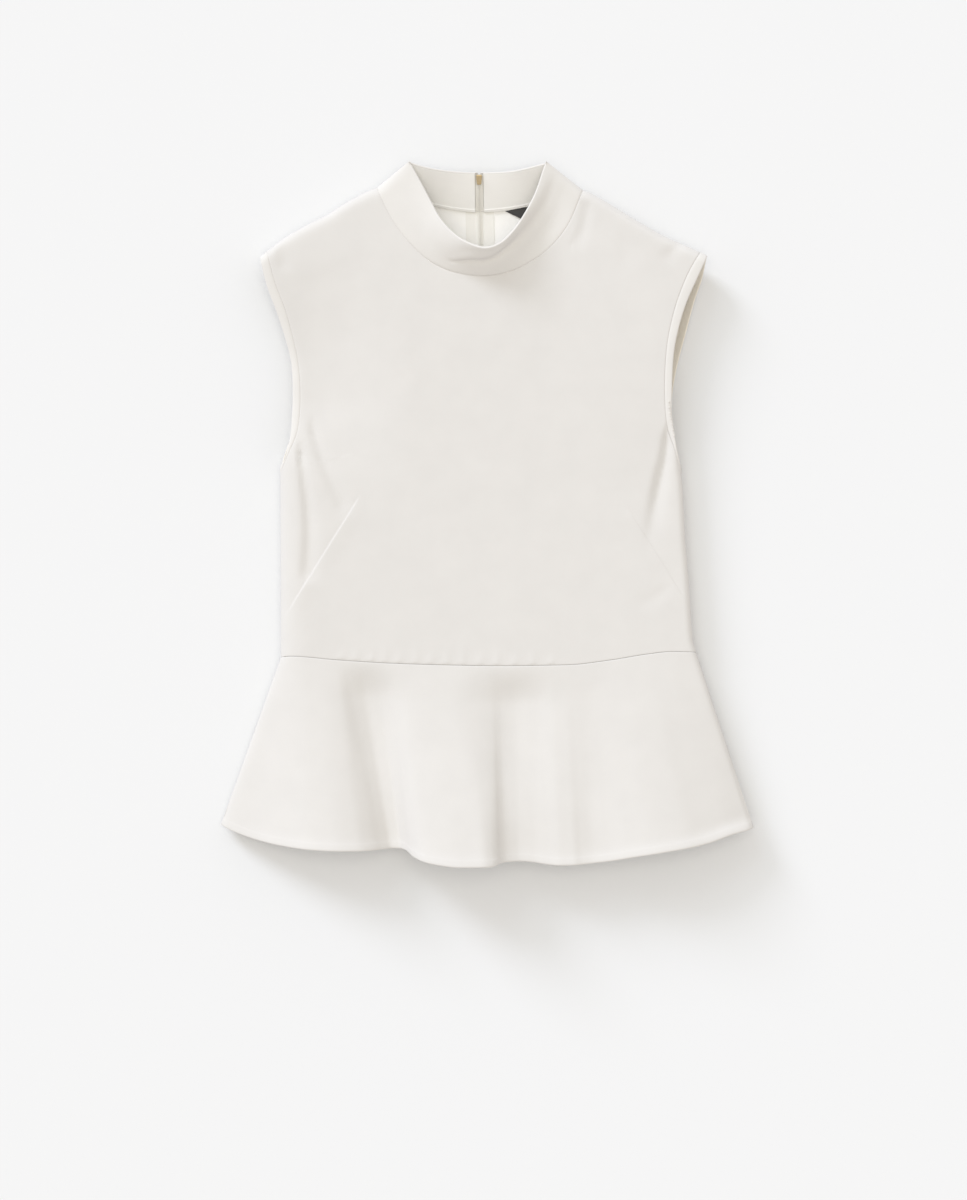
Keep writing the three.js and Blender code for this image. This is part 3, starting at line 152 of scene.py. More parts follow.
SHOULDER_SEAM = {"depth": 0.5, "inset": 3.3, "width": 0.7}
EDGE_PINCH = {"inwards": 0.45, "height": 1.3, "zone": 6}
SHOULDERS_FROM_Y = 200
FRONT_CLEAR = (2, 16)  # span from the sides where creases begin
STEP = 3.2
SIDE_LENGTH, ARMHOLE_LENGTH, SHOULDER_LENGTH = 165, 205, 99
FINE_EDGE = np.array([0, 0.1, 0.25, 0.45, 0.7, 1.05, 1.5, 2.1, 3, 4.2, 5.8, 7.8])  # rows beside a seam


def smooth_value(table, at):
    """A smooth curve through the table's rows of (key, value), without overshoot between them."""
    keys, values = np.array(table, float).T
    slopes = np.diff(values) / np.diff(keys)
    before, after = slopes[:-1], slopes[1:]
    total = np.where(before * after > 0, before + after, 1)
    inner = np.where(before * after > 0, 2 * before * after / total, 0)
    tangents = np.concatenate([slopes[:1], inner, slopes[-1:]])
    at = np.clip(at, keys[0], keys[-1])
    i = np.clip(np.searchsorted(keys, at, side="right") - 1, 0, len(keys) - 2)
    run = keys[i + 1] - keys[i]
    t = (at - keys[i]) / run
    ends = values[i] * (1 + 2 * t) * (1 - t) ** 2 + values[i + 1] * t * t * (3 - 2 * t)
    return ends + run * (tangents[i] * t * (1 - t) ** 2 - tangents[i + 1] * t * t * (1 - t))


def table_column(rows, column, at):
    """A smooth curve through one column of a table, keyed by its first."""
    return smooth_value([(row[0], row[column]) for row in rows], at)


def unit(vectors):
    return vectors / np.maximum(np.linalg.norm(vectors, axis=-1, keepdims=True), 1e-9)


def lengths_along(points):
    """How far along a line of points each of them is."""
    return np.concatenate([[0], np.cumsum(np.linalg.norm(np.diff(points, axis=0), axis=1))])


def curve_points(corners, shares):
    """Points at shares of the length of a smooth curve through the corners."""
    corners = np.array(corners, float)
    ends = [2 * corners[0] - corners[1], 2 * corners[-1] - corners[-2]]
    padded = np.vstack([ends[0], corners, ends[1]])
    weight = np.linspace(0, 1, 60, endpoint=False)[:, None]
    pieces = []
    for p0, p1, p2, p3 in zip(padded, padded[1:], padded[2:], padded[3:]):
        d0, d1, d2 = (math.sqrt(np.linalg.norm(b - a)) for a, b in ((p0, p1), (p1, p2), (p2, p3)))
        start = ((p1 - p0) / d0 - (p2 - p0) / (d0 + d1) + (p2 - p1) / d1) * d1
        stop = ((p2 - p1) / d1 - (p3 - p1) / (d1 + d2) + (p3 - p2) / d2) * d1
        bend = 3 * (p2 - p1) - 2 * start - stop
        twist = 2 * (p1 - p2) + start + stop
        pieces.append(p1 + weight * start + weight**2 * bend + weight**3 * twist)
    dense = np.vstack(pieces + [corners[-1:]])
    lengths = lengths_along(dense)
    at = np.asarray(shares) * lengths[-1]
    return np.stack([np.interp(at, lengths, column) for column in dense.T], axis=-1)


def even_curve(corners, count):
    return curve_points(corners, np.linspace(0, 1, count))


def ramp(value, start, stop):
    t = np.clip((value - start) / (stop - start), 0, 1)
    return t * t * (3 - 2 * t)


def hump(value, begin, full, leave, end):
    """Rises from 0 to 1 over the first span and falls back over the second."""
    return ramp(value, begin, full) * (1 - ramp(value, leave, end))


def bell(distance, width):
    return np.exp(-((distance / width) ** 2))


def roll(distance, width):
    """How far the cloth has risen from its outline: a quarter of an ellipse."""
    inward = np.clip(distance / width, 0, 1)
    return np.sqrt(1 - (1 - inward) ** 2)


def outline_distances(x, y):
    left = x - smooth_value(SIDE_OUTLINE["left"], y)
    right = smooth_value(SIDE_OUTLINE["right"], y) - x
    shoulder = (smooth_value(SHOULDER_OUTLINE, x) - y) * math.cos(SHOULDER_SLOPE)
    return left, right, shoulder


def outline_height(x, y):
    sides, shoulders = (low["left"] + (low["right"] - low["left"]) * ramp(x, *span) for low, span in
                        ((SIDE_HEIGHT, SIDE_CHANGE_X), (SHOULDER_HEIGHT, SHOULDER_CHANGE_X)))
    return sides + (shoulders - sides) * ramp(y, *SHOULDER_CHANGE_Y)


def front_height(x, y):
    left, right, shoulder = outline_distances(x, y)
    base = outline_height(x, y)
    top = FRONT_HEIGHT + CHEST_LIFT * ramp(x, *CHEST_LIFT_X) * ramp(y, *CHEST_LIFT_Y)
    rise = roll(left, FRONT_SIDE_ROLL["left"]) * roll(right, FRONT_SIDE_ROLL["right"])
    rise = rise * roll(shoulder, FRONT_SHOULDER_ROLL)
    return base + (top - base) * rise


def back_height(x, y):
    left, right, shoulder = outline_distances(x, y)
    fall = roll(left, BACK_SIDE_ROLL) * roll(right, BACK_SIDE_ROLL) * roll(shoulder, BACK_SHOULDER_ROLL)
    return outline_height(x, y) * (1 - fall)


def distance_to_line(x, y, line):
    """How far each point is from a line of points, and where along the line it is nearest."""
    points = np.stack([x.ravel(), y.ravel()], axis=-1)
    line = line[:, :2]
    ahead = unit(np.gradient(line, axis=0))
    distance = np.empty(len(points))
    share = np.empty(len(points))
    for start in range(0, len(points), 4000):
        part = slice(start, start + 4000)
        gaps = np.linalg.norm(points[part, None, :] - line[None], axis=-1)
        nearest = gaps.argmin(axis=1)
        gap, way = points[part] - line[nearest], ahead[nearest]
        aside = np.abs(gap[:, 0] * way[:, 1] - gap[:, 1] * way[:, 0])
        inside = (nearest > 0) & (nearest < len(line) - 1)
        distance[part] = np.where(inside, aside, gaps[np.arange(len(nearest)), nearest])
        share[part] = nearest / (len(line) - 1)
    return distance.reshape(x.shape), share.reshape(x.shape)


def crease_depth(x, y, creases):
    total = np.zeros_like(x)
    for corners, depth, (left_spread, right_spread), (begin, end) in creases:
        line = even_curve(corners, 80)
        distance, share = distance_to_line(x, y, line)
        fade = hump(share, 0, begin, 1 - end, 1)
        on_right = x > np.interp(share, np.linspace(0, 1, len(line)), line[:, 0])
        spread = np.where(on_right, right_spread, left_spread) * (CREASE_START + CREASE_GROWTH * share)
        total += depth * fade * bell(distance, spread)
    return total


def dart_depth(x, y):
    """Each dart's lap stands up along its sewn line, and the right one ends in a groove."""
    depth = np.zeros_like(x)
    for dart in DARTS:
        tip, seam = np.array(dart["tip"]), np.array(dart["seam"])
        run = seam - tip
        along = ((x - tip[0]) * run[0] + (y - tip[1]) * run[1]) / run.dot(run)
        aside = ((x - tip[0]) * run[1] - (y - tip[1]) * run[0]) / np.linalg.norm(run) * np.sign(tip[0])
        edge = hump(aside, -DART_FOLD, DART_FOLD, DART_FOLD, dart["width"])
        dip = DART_DIP["share"] * bell(aside + DART_DIP["before"], DART_DIP["width"])
        depth += dart["lap"] * hump(along, *DART_SEWN) * (dip - edge)
        depth += dart["groove"] * hump(along, *DART_GROOVE) * bell(aside, DART_GROOVE_WIDTH)
    return depth


def pucker_height(x, y):
    """Small ripples that stand over the waist seam, each dying out by its length."""
    above = y - smooth_value(WAIST_FRONT, x)
    height = np.zeros_like(x)
    for place, length in PUCKERS:
        height += PUCKER_HEIGHT * bell(x - place, PUCKER_WIDTH) * hump(above, 0, 2.5, 3, length)
    return height


def rolled_edge(distance, drop=0.4, width=1.5):
    """The cloth turns down into a seam: how far it has dropped at a distance from the seam."""
    return drop * (1 - roll(distance, width))


def cloth_steps(length, step, fine_start=False, fine_end=False):
    """Shares of a length in even steps, with finer ones beside a seam."""
    start = FINE_EDGE if fine_start else np.zeros(1)
    stop = length - (FINE_EDGE[::-1] if fine_end else np.zeros(1))
    count = max(1, round((stop[0] - start[-1]) / step))
    middle = np.linspace(start[-1], stop[0], count + 1)[1:-1]
    return np.concatenate([start, middle, stop]) / length


def line_length(points):
    return np.linalg.norm(np.diff(points, axis=0), axis=1).sum()


def line_across(table, from_x, to_x, shares):
    x = from_x + (to_x - from_x) * shares
    return np.stack([x, smooth_value(table, x)], axis=-1)


def panel_side(side, waist_y, face):
    """Up the side seam from the waist, then along the armhole seam to the shoulder."""
    side_shares = cloth_steps(SIDE_LENGTH, STEP, fine_start=True)[:-1]
    y = waist_y + (UNDERARM_Y - waist_y) * side_shares
    seam = np.stack([smooth_value(SIDE_OUTLINE[side], y), y], axis=-1)
    armhole_shares = cloth_steps(ARMHOLE_LENGTH, STEP, True, True)
    return np.vstack([seam, curve_points(ARMHOLE_SEAM[f"{side}_{face}"], armhole_shares)])


def joined(*stretches):
    """One line of points from stretches that meet end to end."""
    return np.vstack([stretch[:-1] for stretch in stretches[:-1]] + [stretches[-1]])


def blend_plan(bottom, top, left, right):
    """A level grid of points inside four edges, blended from all of them."""
    u = ((bottom[:, 0] - bottom[0, 0]) / (bottom[-1, 0] - bottom[0, 0]))[None, :, None]
    lengths = lengths_along(left)
    v = (lengths / lengths[-1])[:, None, None]
    edges = (1 - v) * bottom[None] + v * top[None] + (1 - u) * left[:, None] + u * right[:, None]
    corners = (1 - u) * (1 - v) * bottom[0] + u * (1 - v) * bottom[-1]
    corners = corners + (1 - u) * v * top[0] + u * v * top[-1]
    return np.dstack([edges - corners, np.zeros(edges.shape[:2])])


def grid_of(points):
    """A bmesh grid whose vertices are moved to the points, an array of rows by columns."""
    rows, columns = points.shape[:2]
    mesh = bmesh.new()
    bmesh.ops.create_grid(mesh, x_segments=columns - 1, y_segments=rows - 1, size=1)
    place = np.array([vert.co[:2] for vert in mesh.verts])
    column = np.rint((place[:, 0] + 1) / 2 * (columns - 1)).astype(int)
    row = np.rint((place[:, 1] + 1) / 2 * (rows - 1)).astype(int)
    for vert, point in zip(mesh.verts, points[row, column] * MM):
        vert.co = point
    return mesh


def face_way(mesh, down=False):
    """Turns a sheet's outer side up, or down for the pieces that lie on the floor."""
    mesh.normal_update()
    rising = sum(face.normal.z * face.calc_area() for face in mesh.faces)
    if (rising < 0) != down:
        bmesh.ops.reverse_faces(mesh, faces=mesh.faces)


def finished(mesh, name, material, node):
    """Makes a piece of the garment from its bmesh, in place of its CAD node."""
    data = bpy.data.meshes.new(name)
    mesh.to_mesh(data)
    mesh.free()
    data.shade_smooth()
    data.materials.append(material)
    piece = add_object(name, data)
    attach(piece, "garment")
    if node:
        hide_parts(node)
    return piece


def cloth(mesh, node, material, wall=CREPE_WALL, reverse=None, ending="cloth"):
    """A piece of cloth from the bmesh of its outer face, with its wall inside that face."""
    piece = finished(mesh, f"{node}_{ending}", material, node)
    shell = piece.modifiers.new("cloth thickness", "SOLIDIFY")
    shell.thickness = wall * MM
    shell.offset = -1
    if reverse:
        piece.data.materials.append(reverse)
        shell.material_offset = 1
    return piece


def set_inputs(node, values):
    for name, value in values.items():
        node.inputs[name].default_value = value


def new_finish(name, values):
    material = bpy.data.materials.new(name)
    material.use_nodes = True
    set_inputs(material.node_tree.nodes["Principled BSDF"], values)
    return material


def texture(material, kind, values):
    """A texture laid over the piece in the piece's own coordinates."""
    nodes = material.node_tree.nodes
    made = nodes.new(kind)
    set_inputs(made, values)
    place = nodes.new("ShaderNodeTexCoord").outputs["Object"]
    material.node_tree.links.new(place, made.inputs["Vector"])
    return made


def two_tones(material, pattern, tones, places=(0, 1)):
    """Colours the material from one tone to the other by a texture."""
    nodes, links = material.node_tree.nodes, material.node_tree.links
    colours = nodes.new("ShaderNodeValToRGB")
    for stop, place, tone in zip(colours.color_ramp.elements, places, tones):
        stop.position = place
        stop.color = (*tone, 1)
    links.new(pattern.outputs["Fac"], colours.inputs["Fac"])
    links.new(colours.outputs["Color"], nodes["Principled BSDF"].inputs["Base Color"])


def relief(material, strength, layers):
    """Fine bumps, from textures with the output used and the height in metres."""
    nodes, links = material.node_tree.nodes, material.node_tree.links
    previous = None
    for pattern, output, height in layers:
        bump = nodes.new("ShaderNodeBump")
        set_inputs(bump, {"Distance": height, "Strength": strength})
        links.new(pattern.outputs[output], bump.inputs["Height"])
        if previous:
            links.new(previous.outputs["Normal"], bump.inputs["Normal"])
        previous = bump
    links.new(previous.outputs["Normal"], nodes["Principled BSDF"].inputs["Normal"])


def crepe_finish(name, tint, roughness=0.9, shine=0.25):
    """Matt crepe: a fine pebbled grain, faint threads and a slightly uneven lie."""
    material = new_finish(name, {"Roughness": roughness, "Specular IOR Level": shine,
                                 "Sheen Weight": 0.12, "Sheen Roughness": 0.5})
    shade = texture(material, "ShaderNodeTexNoise", {"Scale": 38, "Detail": 4})
    tones = [0.985 * part for part in tint], [min(1, 1.012 * part) for part in tint]
    two_tones(material, shade, tones, (0.3, 0.7))
    lie = texture(material, "ShaderNodeTexNoise", {"Scale": 55, "Detail": 3})
    threads = texture(material, "ShaderNodeTexWave", {"Scale": 420, "Distortion": 6, "Detail": 2})
    threads.bands_direction = "X"
    grain = texture(material, "ShaderNodeTexVoronoi", {"Scale": 1500})
    relief(material, 0.5, [(lie, "Fac", 35e-5), (threads, "Fac", 3e-5), (grain, "Distance", 5e-5)])
    return material


def split_along_darts(mesh):
    """Extra edges along each dart's sewn line, so that its fold shows crisply."""
    for dart in DARTS:
        tip, seam = Vector((*dart["tip"], 0)) * MM, Vector((*dart["seam"], 0)) * MM
        run = (seam - tip).normalized()
        aside = Vector((run.y, -run.x, 0))
        for offset in DART_CUTS:
            near = []
            for face in mesh.faces:
                middle = face.calc_center_median() - tip
                beside = abs(middle.dot(aside)) < DART_STRIP * MM
                overrun = DART_OVERRUN * MM
                if beside and -overrun < middle.dot(run) < (seam - tip).length + overrun:
                    near.append(face)
            around = near + list({edge for face in near for edge in face.edges})
            around += list({vert for face in near for vert in face.verts})
            bmesh.ops.bisect_plane(mesh, geom=around, plane_co=tip + aside * offset * MM, plane_no=aside)


def lift_panel(mesh, height, seams, is_front):
    """Raises a plan grid to its height and turns its edges in where it meets its neighbours."""
    plan = np.array([vert.co[:2] for vert in mesh.verts]) / MM
    x, y = plan[:, 0], plan[:, 1]
    z = height(x, y)
    for line in seams:
        distance, _ = distance_to_line(x, y, line)
        z = z - rolled_edge(distance) * (1 if is_front else -1)
    left, right, shoulder = outline_distances(x, y)
    near_outline = np.minimum(np.minimum(left, right), shoulder) < EDGE_PINCH["zone"]
    from_edge = np.abs(z - outline_height(x, y)) / EDGE_PINCH["height"]
    pinch = EDGE_PINCH["inwards"] * np.clip(1 - from_edge, 0, 1) ** 2 * near_outline
    beside_neck = (x < NECK_POINT_X["left"] - 2) | (x > NECK_POINT_X["right"] + 2)
    on_shoulder = (y > SHOULDERS_FROM_Y) & beside_neck
    on_side = (y < UNDERARM_Y) & ~on_shoulder
    x = x + pinch * np.where(on_side, np.where(left < right, 1, -1), 0)
    y = y - pinch * np.where(on_shoulder & (x < 0), 1, 0)
    for vert, point in zip(mesh.verts, np.stack([x, y, z], axis=-1) * MM):
        vert.co = point


def armhole_sag(x, y):
    """The front sinks towards the left armhole, where nothing holds it up."""
    distance, share = distance_to_line(np.atleast_1d(x), np.atleast_1d(y), left_armhole)
    return ARMHOLE_SAG * (1 - ramp(distance, *ARMHOLE_SAG_REACH)) * hump(share, 0.02, 0.35, 0.5, 1)


def front_cloth_height(x, y):
    left, right, shoulder = outline_distances(x, y)
    clear = ramp(np.minimum(left, right), *FRONT_CLEAR)
    height = front_height(x, y) - clear * (crease_depth(x, y, FRONT_CREASES) + dart_depth(x, y))
    groove = SHOULDER_SEAM["depth"] * bell(shoulder - SHOULDER_SEAM["inset"], SHOULDER_SEAM["width"])
    groove = groove * ramp(x, NECK_POINT_X["right"] - 2, 100)
    return height + pucker_height(x, y) - groove - armhole_sag(x, y)


crepe = crepe_finish("ivory crepe", (0.727, 0.702, 0.668))
crepe_doubled = crepe_finish("ivory crepe, doubled", (0.761, 0.735, 0.696))
# The reverse is a far lighter copy of the crepe: painted light, which brightens the shaded inner faces,
# such as the inside of the back and the collar's inner layer.
crepe_reverse_painted_light = crepe_finish("reverse of the crepe, lighter by painted light", (0.95, 0.93, 0.895))

left_armhole = even_curve(ARMHOLE_SEAM["left_front"], 500)
right_armhole = even_curve(ARMHOLE_SEAM["right_front"], 500)
neck_line = even_curve(NECK_FRONT, 600)
waist_left_x, waist_right_x = WAIST_FRONT[0][0], WAIST_FRONT[-1][0]
front_waist = line_across(WAIST_FRONT, waist_left_x, waist_right_x, np.linspace(0, 1, 900))
outer_shares = cloth_steps(SHOULDER_LENGTH, STEP, True, False)
neck_shares = cloth_steps(line_length(neck_line), STEP, True, True)
inner_shares = (1 - outer_shares)[::-1]
top_edge = joined(
    line_across(SHOULDER_OUTLINE, left_armhole[-1, 0], NECK_POINT_X["left"], outer_shares),
    curve_points(NECK_FRONT, neck_shares),
    line_across(SHOULDER_OUTLINE, NECK_POINT_X["right"], right_armhole[-1, 0], inner_shares))
below_left, below_right = WAIST_BELOW_NECK_X["left"], WAIST_BELOW_NECK_X["right"]
bottom_edge = joined(
    line_across(WAIST_FRONT, waist_left_x, below_left, outer_shares),
    line_across(WAIST_FRONT, below_left, below_right, neck_shares),
    line_across(WAIST_FRONT, below_right, waist_right_x, inner_shares))
left_edge = panel_side("left", bottom_edge[0, 1], "front")
right_edge = panel_side("right", bottom_edge[-1, 1], "front")
front_mesh = grid_of(blend_plan(bottom_edge, top_edge, left_edge, right_edge))
split_along_darts(front_mesh)
lift_panel(front_mesh, front_cloth_height, [front_waist, neck_line, left_armhole, right_armhole], True)
face_way(front_mesh)
# Its inner shell takes the lighter reverse, which is painted light.
front_bodice = cloth(front_mesh, "front_bodice", crepe, reverse=crepe_reverse_painted_light)

# Back bodice. Two halves that the top lies on, joined down the middle by a zip that closes edge
# to edge. They are cut from the same crepe and lie flat, but for a few soft creases.
CENTRE_BACK_TOP = (-7.2, 309)
CENTRE_BACK_WAIST = (1.2, -130)
NECK_BACK_Y = 275.4
WAIST_BACK = [(-186.3, -128.6), (-90, -131), CENTRE_BACK_WAIST, (95, -129), (188.7, -124)]  # x, y
BACK_CREASES = [
    ([(-150, 60), (-128, 20), (-112, -30), (-106, -80)], 1.6, (8, 11), (0.22, 0.45)),
    ([(-92, -128), (-84, -96), (-80, -60), (-70, -20)], 1.1, (6, 8), (0.2, 0.5)),
    ([(140, 84), (126, 44), (120, 2), (104, -30)], 1.4, (9, 7), (0.3, 0.4)),
    ([(70, -128), (74, -100), (66, -70), (68, -46)], 1.0, (5, 7), (0.2, 0.5)),
    ([(60, 262), (84, 230), (92, 200), (112, 168)], 1.2, (7, 9), (0.25, 0.4)),
]
BACK_CLEAR = {"side": (12, 30), "shoulder": (8, 20), "centre": (4, 16)}  # spans where creases begin


def centre_back_x(y):
    (top_x, top_y), (waist_x, waist_y) = CENTRE_BACK_TOP, CENTRE_BACK_WAIST
    return waist_x + (top_x - waist_x) * ((y - waist_y) / (top_y - waist_y))


neck_centre = (centre_back_x(NECK_BACK_Y), NECK_BACK_Y)
NECK_BACK = {
    "left": [(-99.7, 294.4), (-75, 287.5), (-48.9, 281.7), (-30.9, 278.1), neck_centre],
    "right": [neck_centre, (20.3, 278.1), (35.3, 281), (62, 286.5), (86.8, 292.4)],
}  # x, y


def back_cloth_height(x, y):
    left, right, shoulder = outline_distances(x, y)
    clear = ramp(np.minimum(left, right), *BACK_CLEAR["side"]) * ramp(shoulder, *BACK_CLEAR["shoulder"])
    clear = clear * ramp(np.abs(x - centre_back_x(y)), *BACK_CLEAR["centre"])
    return back_height(x, y) + clear * crease_depth(x, y, BACK_CREASES)


def back_half(side):
    is_left = side == "left"
    armhole, neck_table = ARMHOLE_SEAM[side + "_back"], NECK_BACK[side]
    waist_x, waist_y = WAIST_BACK[0] if is_left else WAIST_BACK[-1]
    outer = panel_side(side, waist_y, "back")
    lengths = lengths_along(outer)
    centre_y = waist_y + (NECK_BACK_Y - waist_y) * lengths / lengths[-1]
    centre_y[0] = CENTRE_BACK_WAIST[1]
    centre = np.stack([centre_back_x(centre_y), centre_y], axis=-1)
    neck = cloth_steps(line_length(even_curve(neck_table, 60)), STEP, True, True)
    neck_edge = curve_points(neck_table, neck)
    end_x, centre_x = outer[-1, 0], CENTRE_BACK_WAIST[0]
    neck_x, below_x = NECK_POINT_X[side], WAIST_BELOW_NECK_X[side]
    if is_left:
        top = joined(line_across(SHOULDER_OUTLINE, end_x, neck_x, outer_shares), neck_edge)
        bottom = joined(line_across(WAIST_BACK, waist_x, below_x, outer_shares),
                        line_across(WAIST_BACK, below_x, centre_x, neck))
        plan = blend_plan(bottom, top, outer, centre)
    else:
        top = joined(neck_edge, line_across(SHOULDER_OUTLINE, neck_x, end_x, inner_shares))
        bottom = joined(line_across(WAIST_BACK, centre_x, below_x, neck),
                        line_across(WAIST_BACK, below_x, waist_x, inner_shares))
        plan = blend_plan(bottom, top, centre, outer)
    mesh = grid_of(plan)
    seams = [even_curve(armhole, 500), even_curve(neck_table, 400),
             line_across(WAIST_BACK, *sorted((waist_x, centre_x)), np.linspace(0, 1, 500)),
             np.linspace(centre[0], centre[-1], 900)]
    lift_panel(mesh, back_cloth_height, seams, False)
    face_way(mesh, down=True)
    # The inner shell, which shows up through the neck, takes the lighter reverse: painted light.
    return cloth(mesh, "back_bodice_" + side, crepe, reverse=crepe_reverse_painted_light)


back_left = back_half("left")
back_right = back_half("right")

# Armhole bands. A strip of crepe folded over each armhole's edge, stitched down along its seam
# and softly rounded. It runs up the front, over the shoulder and down the back.
ARMHOLE_EDGE = {
    "left_front": [
        (-186.5, 45), (-183.8, 47.5), (-180.1, 58.5), (-177.9, 69.3), (-176.3, 88), (-175.6, 116),
        (-177.4, 139), (-182.4, 158.8), (-189.6, 181.5), (-198.6, 206), (-205, 232.1),
    ],
    "left_back": [
        (-186.5, 45), (-184, 54), (-179.4, 68), (-175, 92), (-174, 122), (-178.2, 152), (-186, 178),
        (-196.6, 206), (-205, 232.1),
    ],
    "right_front": [
        (174.8, 45), (173.4, 49.5), (171, 60), (168.6, 72), (166.4, 90), (166.4, 115.8), (168.1, 144.5),
        (171.8, 165), (178.9, 188.7), (190, 214), (198.9, 233.1),
    ],
    "right_back": [
        (174.8, 45), (172, 56), (168.4, 75), (167.8, 102), (172.6, 133), (180.4, 163), (188.8, 194),
        (195.6, 214), (198.9, 233.1),
    ],
}
# The band's section: a share of its width from the seam, then millimetres along and outwards
BAND_SECTION = [(0, -1.2, -1.1), (0, -0.5, -0.95), (0, -0.05, -0.7), (0, 0.2, -0.35), (0, 0.8, -0.05),
                (0.3, 0, 0.12), (0.5, 0, 0.16), (0.75, 0, 0.1), (1, -1.0, -0.03), (1, -0.45, -0.2),
                (1, -0.1, -0.55), (1, 0, -1.0), (1, -0.1, -1.45), (1, -0.45, -1.8), (1, -1.0, -1.97),
                (0.5, 0, -2.0), (0, 0.8, -2.0), (0, -1.2, -2.0)]
# The strips from this one on show the band's inner side, which takes a painted warm shade.
BAND_INSIDE = 11  # from this strip of the section on, the band's inner side shows
BAND_STEP = 2.6
BAND_WALL = 0.7


def armhole_band(side):
    """A band from the underarm up the front and down the back, on the height of the cloth there."""
    shares = cloth_steps(ARMHOLE_LENGTH, BAND_STEP, True, True)
    seam, edge = (np.vstack([curve_points(table[side + "_front"], shares),
                             curve_points(table[side + "_back"], shares[::-1][1:])])
                  for table in (ARMHOLE_SEAM, ARMHOLE_EDGE))
    heights = [front_cloth_height] * len(shares) + [back_cloth_height] * (len(shares) - 1)
    width = np.linalg.norm(edge - seam, axis=1)[:, None]
    share_out, step_out, rise = np.array(BAND_SECTION).T
    along = share_out * width + step_out
    share = along / width
    plan = seam[:, None] * (1 - share[..., None]) + edge[:, None] * share[..., None]

    def with_outline(table, column, key):
        """A coordinate that bows like the outline between the seam's point and the edge's."""
        at_seam, at_edge = (smooth_value(table, line[:, key])[:, None] for line in (seam, edge))
        bowed = plan[..., column] + smooth_value(table, plan[..., key])
        return bowed - (1 - share) * at_seam - share * at_edge

    x = with_outline(SIDE_OUTLINE[side], 0, 1)
    y = with_outline(SHOULDER_OUTLINE, 1, 0)
    z = np.array([height(x[i], y[i]) for i, height in enumerate(heights)])
    surface = np.dstack([x, y, z])
    ring = np.vstack([surface[-4:-1], surface, surface[1:4]])
    normals = np.empty_like(surface)
    for i, order in enumerate(np.argsort(along, axis=1, kind="stable")):
        across = ring[i + 3][order[-1]] - ring[i + 3][order[0]]
        ahead = np.mean(ring[i + 4] - ring[i + 2], axis=0)
        normals[i] = np.cross(ahead, across) * (1 if side == "left" else -1)
    for _ in range(2):
        normals = (np.roll(normals, 1, axis=0) + 2 * normals + np.roll(normals, -1, axis=0)) / 4
    normals = unit(normals)
    mesh = grid_of(surface + normals * rise[:, None])
    for face in mesh.faces:
        face.material_index = int(face.index % (len(BAND_SECTION) - 1) >= BAND_INSIDE)
    bmesh.ops.remove_doubles(mesh, verts=mesh.verts, dist=1e-6)
    if side == "left":
        bmesh.ops.reverse_faces(mesh, faces=mesh.faces)
    band = cloth(mesh, "armhole_band_" + side, crepe_doubled, BAND_WALL)
    # The inner strips take the painted warm shade.
    band.data.materials.append(band_inside_painted_shade)
    return band


# The band's inner side is a warm tan copy of the crepe: painted shade for the inside that the band's fold
# keeps in shade.
band_inside_painted_shade = crepe_finish("inner side of the bands, painted warm shade", (0.93, 0.87, 0.77))
band_left = armhole_band("left")
band_right = armhole_band("right")

# Underarm stitches. A short zigzag of ivory thread closes the band's edge above the right
# underarm. Each stitch is a thin grain that leans to one side or to the other.
STITCHES = 13
STITCH_LINE = [(163.6, 101), (164.2, 93), (165.8, 84), (168.4, 71)]  # x, y
STITCH_LIFT = 0.6
STITCH_LEAN = math.radians(38)
STITCH_SIZE = (0.4, 1.3, 0.6)
stitch_thread = crepe_finish("ivory thread", (0.80, 0.775, 0.735))
stitch_mesh = bmesh.new()
for k, (x, y) in enumerate(even_curve(STITCH_LINE, STITCHES)):
    z = float(front_cloth_height(np.array([x]), np.array([y]))[0]) + STITCH_LIFT
    lean = Matrix.Rotation(STITCH_LEAN if k % 2 else -STITCH_LEAN, 4, "Z")
    place = Matrix.Translation(Vector((x, y, z)) * MM) @ lean @ Matrix.Diagonal((*STITCH_SIZE, 1))
    bmesh.ops.create_uvsphere(stitch_mesh, u_segments=8, v_segments=6, radius=MM, matrix=place)
finished(stitch_mesh, "underarm_stitches", stitch_thread, None)

# Peplum. Three flared panels of the same crepe, sewn on at the waist seam, fall in folds to a narrow
# turned-up hem. Each row of a table is one line of cloth, straight from the waist to the hem.
PEPLUM_FRONT_FOLDS = [
    (-186.3, -241, -280.4, 9), (-184.6, -237.6, -282.6, 11.5), (-179, -216, -291, 19),
    (-171, -185, -297.8, 32), (-161, -156, -300.9, 42), (-150, -133, -301.7, 45),
    (-141, -116, -301.8, 43), (-131, -102, -301.5, 36), (-122, -93, -301, 28.5), (-112, -85.5, -300.7, 24),
    (-102, -79, -300.8, 24.5), (-94, -73, -302, 31), (-86, -66, -307, 41.5), (-75, -54, -311.2, 52),
    (-50, -24, -315.1, 57.5), (-22, -5, -315, 57.3), (-7, 4, -314.8, 54.2), (3, 9, -313.8, 49.5),
    (8, 12.5, -312.5, 44), (12, 16.5, -311.8, 40.2), (19, 23, -311.4, 37.6), (28, 31, -311.3, 36),
    (38, 42, -312.2, 35.8), (48, 55, -314.2, 37.4), (59, 67, -314.9, 39.4), (69, 77, -314.6, 39.3),
    (78, 86, -314, 37.3), (87, 95, -313, 36.2), (98, 108, -311.4, 37.8), (110, 128, -307.8, 42),
    (124, 152, -303.8, 45), (140, 178, -299.4, 43.5), (154, 198, -295.2, 38.5), (171, 221, -287.6, 32),
    (185.5, 236, -284, 26), (188.7, 240.5, -282.4, 21),
]  # waist x, hem x, hem y, hem z
